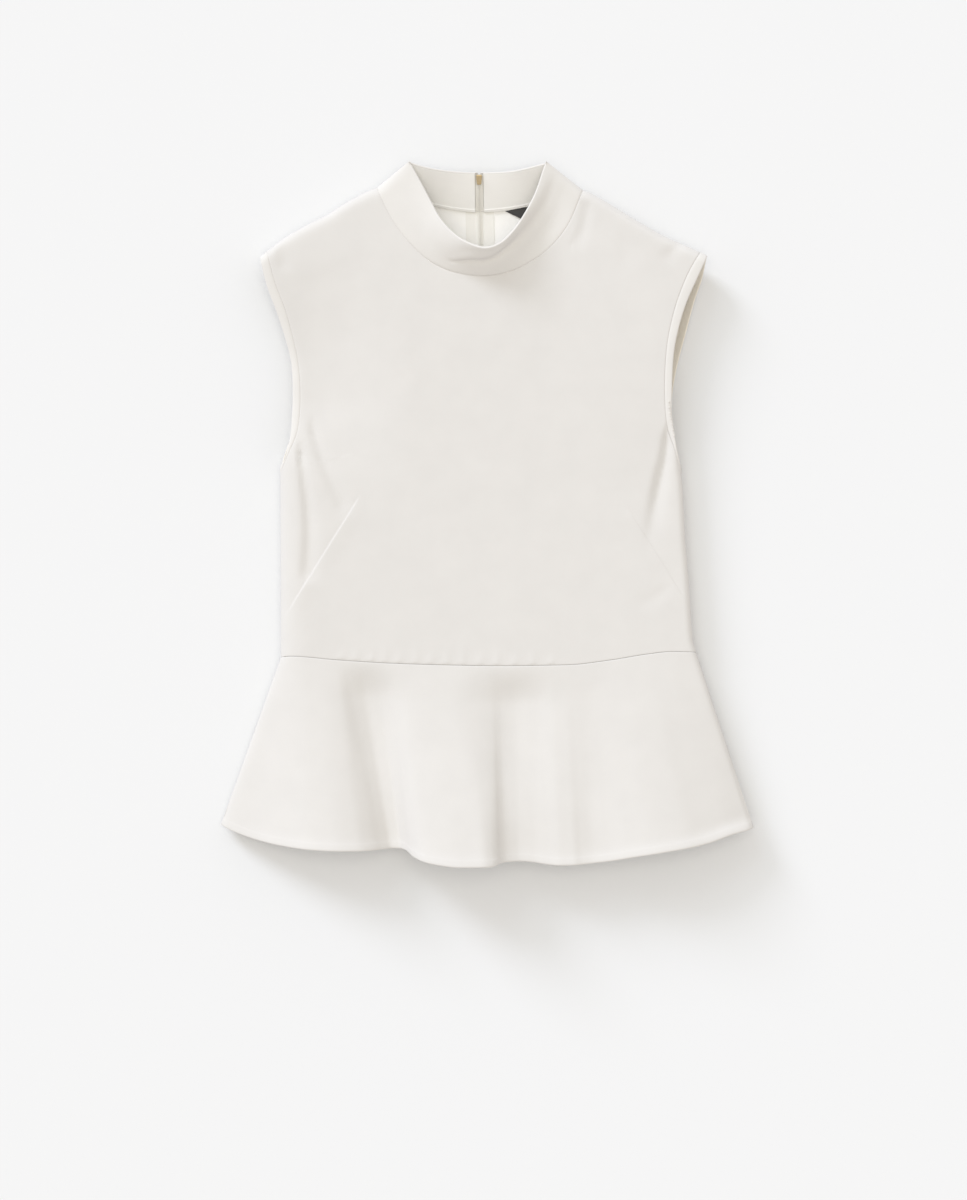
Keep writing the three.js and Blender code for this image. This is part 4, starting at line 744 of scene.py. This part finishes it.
# How far the cloth first sinks below the waist seam before it rises to the hem, and how far the hem
# curls up, both by the place along the waist
PEPLUM_SINK = [
    (-186.3, 0), (-165, 0), (-148, 0.3), (-137, 1), (-126, 4.5), (-114, 6.5), (-96, 4.5), (-66, 0.8),
    (-34, 1), (-12, 3.5), (6, 6), (24, 7.5), (42, 5.5), (60, 2), (76, 1), (92, 0.6), (112, 0),
    (188.7, 0),
]
PEPLUM_CURL = [(-186.3, 0.5), (-150, 1.2), (60, 1.2), (130, 1.6), (165, 3.2), (182, 3.4), (188.7, 1.5)]
PEPLUM_BACK_LEFT_FOLDS = [
    (-186.3, -241, -280.4, 9), (-184, -237.4, -281.4, 4.5), (-177, -225, -284.6, 1),
    (-166, -206, -287.6, 0), (-140, -166, -291.4, 0), (-126, -143, -292.4, 5), (-112, -123, -293, 11.5),
    (-98, -103, -293.8, 5), (-84, -82, -294.6, 0), (-40, -36, -297, 0), (1.2, 3, -298, 0),
]
PEPLUM_BACK_RIGHT_FOLDS = [
    (1.2, 3, -298, 0), (34, 38, -297.4, 0), (58, 62, -296.8, 0), (72, 82, -296, 7), (86, 101, -295, 13.5),
    (100, 121, -293.8, 7), (116, 142, -292.4, 0), (146, 180, -289.4, 0), (168, 209, -286.4, 0),
    (180, 226, -284.4, 2.5), (186.4, 237, -283.2, 11), (188.7, 240.5, -282.4, 21),
]
FOLD_GROWTH = 1.1
LEVEL = [(-190, 0), (190, 0)]  # no sinking and no curl
SINK_SHARES = (0, 0.2, 0.85)  # where the sinking begins, is deepest and ends
CURL_REACH = 13
HEM_TURN = 0.95
HEM_RIDGE = 0.12
HEM_RIDGE_ROWS = (7.0, 6.2, 1.8, 0.9)  # from the hem up: where the turned edge begins and ends to show
HEM_ROWS = np.array([10, 9, 8.3, 7.7, 7.2, 6.8, 6.4, 6.0, 5.5, 4.6, 3.6, 2.6, 1.8, 1.3, HEM_TURN])
HEM_FLAP_ROWS = np.array([1.4, 2.4, 3.6, 4.8, 5.6])
SEAM_GAP = 0.3


def peplum(name, folds, sinks=LEVEL, curls=LEVEL, is_front=False):
    height, waist_table, per_fold = (back_height, WAIST_BACK, 9)
    if is_front:
        height, waist_table, per_fold = (front_height, WAIST_FRONT, 6)
    at = np.linspace(0, len(folds) - 1, (len(folds) - 1) * per_fold + 1)
    columns = [smooth_value(list(enumerate(column)), at) for column in zip(*folds)]
    waist_x, hem = columns[0], np.stack(columns[1:], axis=-1)
    waist_y = smooth_value(waist_table, waist_x)
    waist = np.stack([waist_x, waist_y, height(waist_x, waist_y)], axis=-1)
    length = np.linalg.norm(hem - waist, axis=-1)
    sink, curl = smooth_value(sinks, waist_x), smooth_value(curls, waist_x)
    begins, deepest, ends = SINK_SHARES

    def surface(distance):
        """The points of the cloth's outer face at distances down from the waist seam."""
        share = (distance / length)[..., None]
        point = waist + (hem - waist) * share
        along = np.maximum(share[..., 0], 0)
        sunk = sink * hump(along, begins, deepest, deepest, ends)
        curled = curl * ramp(distance, length - CURL_REACH, length)
        risen = (hem[:, 2] - curl - waist[:, 2]) * along**FOLD_GROWTH
        point[..., 2] = waist[:, 2] + risen - sunk + curled
        return point

    middle = np.linspace(0, 1, 48)[1:-1, None] * (length - FINE_EDGE[-1] - HEM_ROWS[0]) + FINE_EDGE[-1]
    fine = np.repeat(FINE_EDGE[:, None], len(length), axis=1)
    turned = np.linspace(0, math.pi, 7)[1:, None]
    distance = np.vstack([fine, middle, length - HEM_ROWS[:, None], length - HEM_TURN + 0 * turned,
                          length - HEM_TURN - HEM_FLAP_ROWS[:, None]])
    ridge = hump(distance, *(length - inset for inset in HEM_RIDGE_ROWS))
    depth = rolled_edge(distance) - HEM_RIDGE * ridge
    beyond = np.zeros_like(distance)
    turn_rows = slice(-len(HEM_FLAP_ROWS) - len(turned), -len(HEM_FLAP_ROWS))
    depth[turn_rows] = HEM_TURN * (1 - np.cos(turned))
    beyond[turn_rows] = HEM_TURN * np.sin(turned)
    depth[-len(HEM_FLAP_ROWS):] = 2 * HEM_TURN
    down_line = unit(surface(distance + 0.5) - surface(distance - 0.5))
    across = np.gradient(surface(distance), axis=1)
    normals = unit(np.cross(down_line, across) * (1 if is_front else -1))
    points = surface(distance) + down_line * beyond[..., None] - normals * depth[..., None]
    points[..., 1] -= SEAM_GAP / 2
    for column, way in ((0, 1), (-1, -1)):
        points[:, column] += unit(points[:, column + way] - points[:, column]) * SEAM_GAP / 2
    mesh = grid_of(points)
    face_way(mesh, down=not is_front)
    return cloth(mesh, name, crepe)


front_peplum = peplum("front_peplum", PEPLUM_FRONT_FOLDS, PEPLUM_SINK, PEPLUM_CURL, is_front=True)
back_peplum_left = peplum("back_peplum_left", PEPLUM_BACK_LEFT_FOLDS)
back_peplum_right = peplum("back_peplum_right", PEPLUM_BACK_RIGHT_FOLDS)

# Stand collar. A strip of crepe folded double along its top edge and sewn into the neck seam. At
# the front it leans over its own seam, and one soft crease runs across it to the right. Behind, the
# outer layer ends at the zip's teeth and the inner one, with a rolled lower edge, short of them.
COLLAR_TOP_FRONT = [
    (-70.1, 316.6, 30), (-68.5, 314.3, 30.5), (-60.5, 300.2, 31.5), (-49.3, 278.3, 34.5),
    (-42.4, 265.2, 38), (-30.5, 250.9, 43.5), (-18.7, 242, 48.5), (-0.9, 235.9, 53), (12.5, 240.5, 52),
    (24.3, 252.9, 46), (34.7, 269.8, 39.5), (43.6, 288.5, 34.5), (51.8, 313, 30.8), (53.6, 316.5, 30),
]  # x, y, z
COLLAR_TOP_BACK = {
    "left": [(-70.1, 316.6, 30), (-66.6, 316.2, 26.2), (-51.3, 312.6, 23), (-30.7, 310.2, 18),
             (-7.2, 309.2, 15)],
    "right": [(-7.2, 309.2, 15), (20.2, 310.2, 18), (35, 312.3, 23), (50, 315.8, 26.2), (53.6, 316.5, 30)],
}
COLLAR_WALL = 2.4
COLLAR_SEAM_TURN = 1.2
COLLAR_LIP = 0.9
ZIP_SLOT = 0.8
INNER_LAYER_END = 4.0
# Shares of the rise from the seam to the top edge, at each tenth of the width between them: first the
# share along the front, then the nine values
COLLAR_RISE = [
    (0.0, 0.1, 0.2, 0.3, 0.4, 0.5, 0.6, 0.7, 0.8, 0.9),
    (0.35, 0.09, 0.18, 0.28, 0.39, 0.51, 0.63, 0.74, 0.84, 0.93),
    (0.42, 0.08, 0.16, 0.24, 0.36, 0.48, 0.6, 0.71, 0.82, 0.92),
    (0.466, 0.08, 0.16, 0.24, 0.32, 0.45, 0.57, 0.69, 0.8, 0.91),
    (0.51, 0.075, 0.15, 0.22, 0.29, 0.37, 0.5, 0.63, 0.76, 0.89),
    (0.555, 0.075, 0.15, 0.22, 0.29, 0.37, 0.45, 0.58, 0.72, 0.87),
    (0.6, 0.08, 0.16, 0.24, 0.32, 0.4, 0.48, 0.56, 0.7, 0.86),
    (0.644, 0.08, 0.16, 0.24, 0.32, 0.4, 0.48, 0.56, 0.66, 0.83),
    (0.689, 0.06, 0.12, 0.18, 0.25, 0.34, 0.44, 0.56, 0.69, 0.85),
    (0.733, 0.03, 0.06, 0.1, 0.16, 0.26, 0.39, 0.54, 0.7, 0.87),
    (0.778, 0.0, 0.0, 0.01, 0.05, 0.14, 0.29, 0.47, 0.67, 0.87),
    (0.822, 0.0, -0.02, -0.03, 0.0, 0.1, 0.27, 0.48, 0.7, 0.89),
    (0.867, 0.0, -0.01, -0.01, 0.03, 0.13, 0.3, 0.51, 0.72, 0.89),
    (0.911, 0.02, 0.02, 0.03, 0.07, 0.17, 0.33, 0.54, 0.75, 0.91),
    (1.0, 0.1, 0.2, 0.3, 0.4, 0.5, 0.6, 0.7, 0.8, 0.9),
]
# The crease, a valley under the bulging upper part: share along the front, share of the width, its
# depth, its half width, how far above it the bulge dies out, and how far the bulge laps over it
COLLAR_CREASE = [
    (0.0, 0.2, 0, 1.5, 10, 0), (0.375, 0.25, 0, 1.6, 10, 0), (0.405, 0.33, 1.0, 2.0, 10, 0.7),
    (0.435, 0.42, 1.9, 2.5, 12, 1.1), (0.466, 0.5, 2.5, 3.0, 12, 1.3), (0.51, 0.56, 3.0, 3.4, 12, 1.3),
    (0.555, 0.63, 3.1, 3.8, 10, 1.1), (0.6, 0.7, 3.0, 4.0, 8, 0.8), (0.644, 0.72, 2.8, 4.4, 8, 0.5),
    (0.7, 0.72, 2.6, 4.8, 8, 0.2), (0.8, 0.7, 2.2, 5.2, 8, 0), (0.9, 0.7, 0.9, 5.2, 8, 0),
    (1.0, 0.7, 0, 5.2, 8, 0),
]
CREASE_TOP_FADE = 5
INNER_PRESS = 0.6
BEAD_HEIGHT, BEAD_PLACE, BEAD_WIDTH = 0.45, 1.3, 0.7
BACK_COLLAR_WIDTH = 34
COLLAR_BACK_LENGTH, COLLAR_BACK_STEP, COLLAR_FRONT_STEP = 68, 2.6, 2.0
COLLAR_ROLL = {"drop": 0.6, "width": 2}


def outer_normals(points):
    """Unit normals of a grid of points, from the steps along its rows and columns."""
    return unit(np.cross(np.gradient(points, axis=1), np.gradient(points, axis=0)))


def collar_stretch(neck_table, top_table, neck_shares, top_shares, height):
    """Seam and top points of one stretch of the collar."""
    seam = curve_points(neck_table, neck_shares)
    before, after = (curve_points(neck_table, np.clip(neck_shares + step, 0, 1)) for step in (-1e-3, 1e-3))
    ahead = unit(after - before)
    z = height(seam[:, 0], seam[:, 1])
    seam = seam + np.stack([-ahead[:, 1], ahead[:, 0]], axis=-1) * SEAM_GAP / 2
    return np.column_stack([seam, z]), curve_points(top_table, top_shares)


def collar_edges(zip_gap):
    """The collar's columns from the zip round the left, the front and the right: their points at
    the seam and the top edge, and their shares along the front."""
    halves = {}
    shares = cloth_steps(COLLAR_BACK_LENGTH, COLLAR_BACK_STEP, True, True)
    for half in ("left", "right"):
        tables = NECK_BACK[half], COLLAR_TOP_BACK[half]
        gaps = (zip_gap / line_length(even_curve(table, 200)) for table in tables)
        along = [gap + shares * (1 - gap) for gap in gaps]
        if half == "left":
            along = [1 - part for part in along]
        halves[half] = collar_stretch(*tables, *along, back_height)
    front_shares = cloth_steps(line_length(neck_line), COLLAR_FRONT_STEP, True, True)
    front = collar_stretch(NECK_FRONT, COLLAR_TOP_FRONT, front_shares, front_shares, front_height)
    seam, top = (np.vstack([halves["left"][i][:-1], front[i], halves["right"][i][-2::-1]]) for i in (0, 1))
    behind = np.zeros(len(halves["left"][0]) - 1)
    return seam, top, np.concatenate([behind, front_shares, behind + 1])


def collar_layer(zip_gap, shares, press):
    """A layer's points, with a row for each share of the collar's width, and its outward normals.
    The press is how much of the crease the layer takes."""
    seam, top, along = collar_edges(zip_gap)
    width = np.linalg.norm(top - seam, axis=-1)
    up = shares[:, None] * (1 - COLLAR_WALL / 2 / width)
    points = seam + (top - seam) * up[..., None]
    tenths = [table_column(COLLAR_RISE, i, along) for i in range(1, 10)]
    profiles = np.array([0 * along, *tenths, 0 * along + 1]).T
    rise = [smooth_value(np.column_stack([np.linspace(0, 1, 11), profile]), up[:, i])
            for i, profile in enumerate(profiles)]
    points[..., 2] = seam[:, 2] + (top[:, 2] - seam[:, 2]) * np.array(rise).T
    crease_at, depth, half, reach, lap = (table_column(COLLAR_CREASE, i, along) for i in range(1, 6))
    off = (up - crease_at) * width
    reach = np.minimum(reach, (1 - crease_at) * width)
    bulge = press * lap * hump(off, -0.6 * half, 0.6 * half, half, reach)
    points[..., :2] -= unit((top - seam)[:, :2]) * bulge[..., None]
    valley = press * depth * bell(off, half) * ramp((1 - up) * width, 0, CREASE_TOP_FADE)
    points = points - outer_normals(points) * valley[..., None]
    facing = outer_normals(points)
    turned = COLLAR_SEAM_TURN * (up < 0) + rolled_edge(up * width, **COLLAR_ROLL)
    return points - facing * turned[..., None], facing


near_top = np.array([0.955, 0.97, 0.98, 0.988, 0.994, 0.998, 1.0])
near_seam = np.array([-0.008, 0, 0.004, 0.01, 0.02, 0.035])
outer_up = np.concatenate([near_seam, np.linspace(0.05, 0.94, 88), near_top])
inner_up = np.concatenate([np.linspace(0.01, 0.1, 12), np.linspace(0.12, 0.94, 20), near_top])
outer_layer, _ = collar_layer(ZIP_SLOT, outer_up, 1)
inner_layer, inner_facing = collar_layer(INNER_LAYER_END, inner_up, INNER_PRESS)
from_end = (inner_up - inner_up[0]) * BACK_COLLAR_WIDTH
wall = COLLAR_WALL + BEAD_HEIGHT * bell(from_end - BEAD_PLACE, BEAD_WIDTH)
inner_layer = (inner_layer - inner_facing * wall[:, None, None])[::-1]
inner_facing = inner_facing[::-1]
up_way, down_way = (unit(layer[-1] - layer[-3]) for layer in (outer_layer, inner_layer))
top_fold = []
for angle in np.linspace(0, math.pi, 9)[1:-1]:
    across = (1 - math.cos(angle)) / 2
    on_line = outer_layer[-1] * (1 - across) + inner_layer[0] * across
    top_fold.append(on_line + up_way * COLLAR_WALL / 2 * math.sin(angle))
lip = [inner_layer[-1] + inner_facing[-1] * COLLAR_LIP * (1 - math.cos(angle))
       + down_way * COLLAR_LIP * math.sin(angle) for angle in np.linspace(0, math.pi, 8)[1:]]
collar_mesh = grid_of(np.vstack([outer_layer, np.array(top_fold), inner_layer, np.array(lip)]))
bmesh.ops.recalc_face_normals(collar_mesh, faces=collar_mesh.faces)
neck_middle = Vector((-0.006, 0.28, 0.02))
if sum(face.normal.dot(face.calc_center_median() - neck_middle) for face in collar_mesh.faces) < 0:
    bmesh.ops.reverse_faces(collar_mesh, faces=collar_mesh.faces)
outer_faces = (outer_layer.shape[1] - 1) * (len(outer_layer) + len(top_fold))
for face in collar_mesh.faces:
    face.material_index = int(face.index >= outer_faces)
collar = cloth(collar_mesh, "collar", crepe_doubled)
# The collar's inner layer takes the lighter reverse, which is painted light.
collar.data.materials.append(crepe_reverse_painted_light)

# Zip. Two narrow woven tapes lie on the inside of the back, a little raised where the spiral nylon
# coils are sewn to them, and the coils close over the centre line. The tapes run up between the
# collar's two layers to its top edge.
TAPE_BOTTOM_Y = -190
TAPE_WIDTH = 12.8
TAPE_COLLAR_WIDTH = 3.4
TAPE_LIFT = 1.35
TAPE_WALL = 0.45
TAPE_OFFSETS = [0.04, 0.3, 0.6, 0.9, 1.9, 2.2, 2.6]
TAPE_FOOT = [(0.4, 1.9, 2.6), (0.25, 0.3, 0.9)]  # height, distance where it begins to fall, where it ends
TAPE_NARROWS = (466, 470)
TAPE_LONG_STEP, TAPE_SHORT_STEP, TAPE_STEP_CHANGE = 7.0, 2.0, 440
ZIP_TOP_INSET = 1.5
COIL_PITCH = 1.25
COIL_REACH = 0.78
COIL_START = 4
COIL_RADIUS = 0.62
WIRE_RADIUS = 0.3
COIL_SLANT = math.radians(10)
collar_foot = Vector((centre_back_x(NECK_BACK_Y), NECK_BACK_Y + SEAM_GAP / 2, 0))
collar_head = Vector((*CENTRE_BACK_TOP, 15.0))
collar_slope = math.atan2(collar_head.z, collar_head.y - collar_foot.y)


def zip_place(distance):
    """The centre line over the back's outer face: its point, its way up and its way inwards."""
    flat_run = NECK_BACK_Y - TAPE_BOTTOM_Y
    turn = float(ramp(distance, flat_run - 4, flat_run + 4)) * collar_slope
    past = max(0.0, distance - flat_run)
    y = TAPE_BOTTOM_Y + min(distance, flat_run) + past * math.cos(collar_slope)
    point = Vector((centre_back_x(y), y, past * math.sin(collar_slope)))
    return point, Vector((0, math.cos(turn), math.sin(turn))), Vector((0, -math.sin(turn), math.cos(turn)))


def tape_foot(offset):
    """How far the tape comes up round the foot of the coil, at a distance from the centre."""
    return sum(height * (1 - float(ramp(offset, full, end))) for height, full, end in TAPE_FOOT)


tape_weave = crepe_finish("woven zip tape", (0.87, 0.845, 0.79))
nylon = crepe_finish("nylon coil", (0.97, 0.94, 0.87), roughness=0.4)
zip_length = NECK_BACK_Y - TAPE_BOTTOM_Y + (collar_head - collar_foot).length - ZIP_TOP_INSET
ring = bmesh.new()
bmesh.ops.create_circle(ring, segments=4, radius=WIRE_RADIUS * MM, matrix=Matrix.Translation(
    (COIL_RADIUS * MM, 0, 0)) @ Matrix.Rotation(math.pi / 2, 4, "X"))
bmesh.ops.spin(ring, geom=ring.verts[:] + ring.edges[:], axis=(0, 1, 0), cent=(0, 0, 0),
               angle=2 * math.pi, steps=8, use_merge=True)
bmesh.ops.scale(ring, verts=ring.verts, vec=(1.5, 1, 0.6))
bmesh.ops.rotate(ring, verts=ring.verts, cent=(0, 0, 0), matrix=Matrix.Rotation(COIL_SLANT, 3, "Z"))
coil_turn = bpy.data.meshes.new("one turn of the coil")
ring.to_mesh(coil_turn)
ring.free()


def zip_tape(side, way):
    rows = []
    below = np.arange(0, TAPE_STEP_CHANGE, TAPE_LONG_STEP)
    for distance in [*below, *np.arange(TAPE_STEP_CHANGE, zip_length, TAPE_SHORT_STEP), zip_length]:
        point, _, inwards = zip_place(distance)
        wide = TAPE_WIDTH + (TAPE_COLLAR_WIDTH - TAPE_WIDTH) * float(ramp(distance, *TAPE_NARROWS))
        outer = np.linspace(TAPE_OFFSETS[-1], wide - 0.3, 6)[1:]
        offsets = [*TAPE_OFFSETS, *outer, wide - 0.1, wide]
        rows.append([point + Vector((way * offset, 0, 0)) + inwards * (TAPE_LIFT + tape_foot(offset))
                     for offset in offsets])
    mesh = grid_of(np.array(rows))
    face_way(mesh)
    tape = cloth(mesh, "zip_tape_" + side, tape_weave, TAPE_WALL)


def zip_coil(side, way):
    """One spiral of nylon wire along the tape's edge, half a pitch on from the other side's."""
    coil = bmesh.new()
    for k in range(int((zip_length - 2 * COIL_START) / COIL_PITCH)):
        point, up_zip, inwards = zip_place(COIL_START + (k + (0.5 if way > 0 else 0)) * COIL_PITCH)
        count = len(coil.verts)
        coil.from_mesh(coil_turn)
        coil.verts.ensure_lookup_table()
        place = Matrix(((way, 0, 0), (0, up_zip.y, inwards.y), (0, up_zip.z, inwards.z))).to_4x4()
        middle = point + Vector((way * COIL_REACH, 0, 0)) + inwards * (TAPE_LIFT + TAPE_WALL)
        place.translation = middle * MM
        bmesh.ops.transform(coil, verts=coil.verts[count:], matrix=place)
    bmesh.ops.recalc_face_normals(coil, faces=coil.faces)
    finished(coil, "zip_coil_" + side, nylon, None)


for side, way, back in (("left", -1, back_left), ("right", 1, back_right)):
    zip_tape(side, way)
    zip_coil(side, way)
bpy.data.meshes.remove(coil_turn)

# Slider and pull tab. Small cast metal pieces with a pale gold finish, slightly brushed. The
# slider runs on the coils and the tab hangs from its bridge.
gold = new_finish("pale gold", {"Metallic": 1.0, "Roughness": 0.32})
gold_wear = texture(gold, "ShaderNodeTexNoise", {"Scale": 900})
two_tones(gold, gold_wear, ((0.56, 0.42, 0.23), (0.72, 0.58, 0.36)))
relief(gold, 1.0, [(gold_wear, "Fac", 3e-5)])
for node in ("zip_slider", "zip_pull"):
    for material_slot in bpy.data.objects[node].material_slots:
        material_slot.material = gold

# Label. A plain black satin tab with folded edges, caught by one corner in the back neck seam. It
# lies on the inside of the right back half and lifts a little towards its far end.
LABEL_CORNERS = [(16.8, 275.9), (50.4, 259.9), (56.6, 272.4), (35.5, 280)]  # x, y
LABEL_SIZE = (33, 13)
LABEL_WALL = 0.3
LABEL_LIFT = 1.35
LABEL_FOLD = 0.22
LABEL_FOLD_END = (1.4, 1.9)
LABEL_RISE = 1.1
LABEL_WAVE = 0.25
share_x, share_y = np.meshgrid(np.linspace(0, 1, 30), np.linspace(0, 1, 16))
lower_left, lower_right, upper_right, upper_left = (np.array(corner, float) for corner in LABEL_CORNERS)
lower = lower_left + (lower_right - lower_left) * share_x[..., None]
upper = upper_left + (upper_right - upper_left) * share_x[..., None]
plan = lower * (1 - share_y[..., None]) + upper * share_y[..., None]
margin_x, margin_y = (np.minimum(share, 1 - share) for share in (share_x, share_y))
margin = np.minimum(margin_x * LABEL_SIZE[0], margin_y * LABEL_SIZE[1])
lift = LABEL_LIFT + LABEL_FOLD * (1 - ramp(margin, *LABEL_FOLD_END)) + LABEL_RISE * share_x**2
mesh = grid_of(np.dstack([plan, lift + LABEL_WAVE * np.sin(5 * share_x + 2 * share_y)]))
face_way(mesh)
satin = crepe_finish("black satin", (0.012, 0.011, 0.0125), roughness=0.38, shine=0.5)
label = cloth(mesh, "label", satin, LABEL_WALL, ending="satin")

# Floor and light. A pale seamless floor, an even sky and three soft lamps: a wide one overhead, a
# low one from the upper left, which draws the folds, and a weak one beside it.
FLOOR_SIZE = 8.0
FLOOR_DROP = 0.0002
floor_mesh = bmesh.new()
bmesh.ops.create_grid(floor_mesh, x_segments=1, y_segments=1, size=FLOOR_SIZE / 2)
bmesh.ops.translate(floor_mesh, verts=floor_mesh.verts, vec=(0, 0, -FLOOR_DROP))
floor_data = bpy.data.meshes.new("floor")
floor_mesh.to_mesh(floor_data)
floor_mesh.free()
floor_data.materials.append(new_finish("white paper", {
    "Base Color": (0.822, 0.822, 0.822, 1), "Roughness": 0.95, "Specular IOR Level": 0.1}))
floor = add_object("floor", floor_data)

LAMPS = [
    ("overhead", 130, 90, 50, 0.85, (1, 0.983, 0.85)),
    ("key", 130, 22, 20, 1.56, (0.82, 0.875, 1)),
    ("fill", 115, 36, 24, 0.39, (0.73, 0.88, 1)),
]  # name, turn, rise and size in degrees, strength, colour
for name, turn, rise, size, strength, colour in LAMPS:
    lamp_data = bpy.data.lights.new(name, "SUN")
    lamp_data.energy = strength
    lamp_data.color = colour
    lamp_data.angle = math.radians(size)
    lamp = add_object(name, lamp_data)
    turn, rise = math.radians(turn), math.radians(rise)
    towards = Vector((math.cos(turn) * math.cos(rise), math.sin(turn) * math.cos(rise), math.sin(rise)))
    lamp.rotation_euler = towards.to_track_quat("Z", "Y").to_euler()
sky = bpy.data.worlds.new("studio")
sky.use_nodes = True
set_inputs(sky.node_tree.nodes["Background"], {"Color": (1, 0.971, 0.977, 1), "Strength": 0.647})
bpy.context.scene.world = sky
bpy.context.scene.view_settings.view_transform = "Standard"
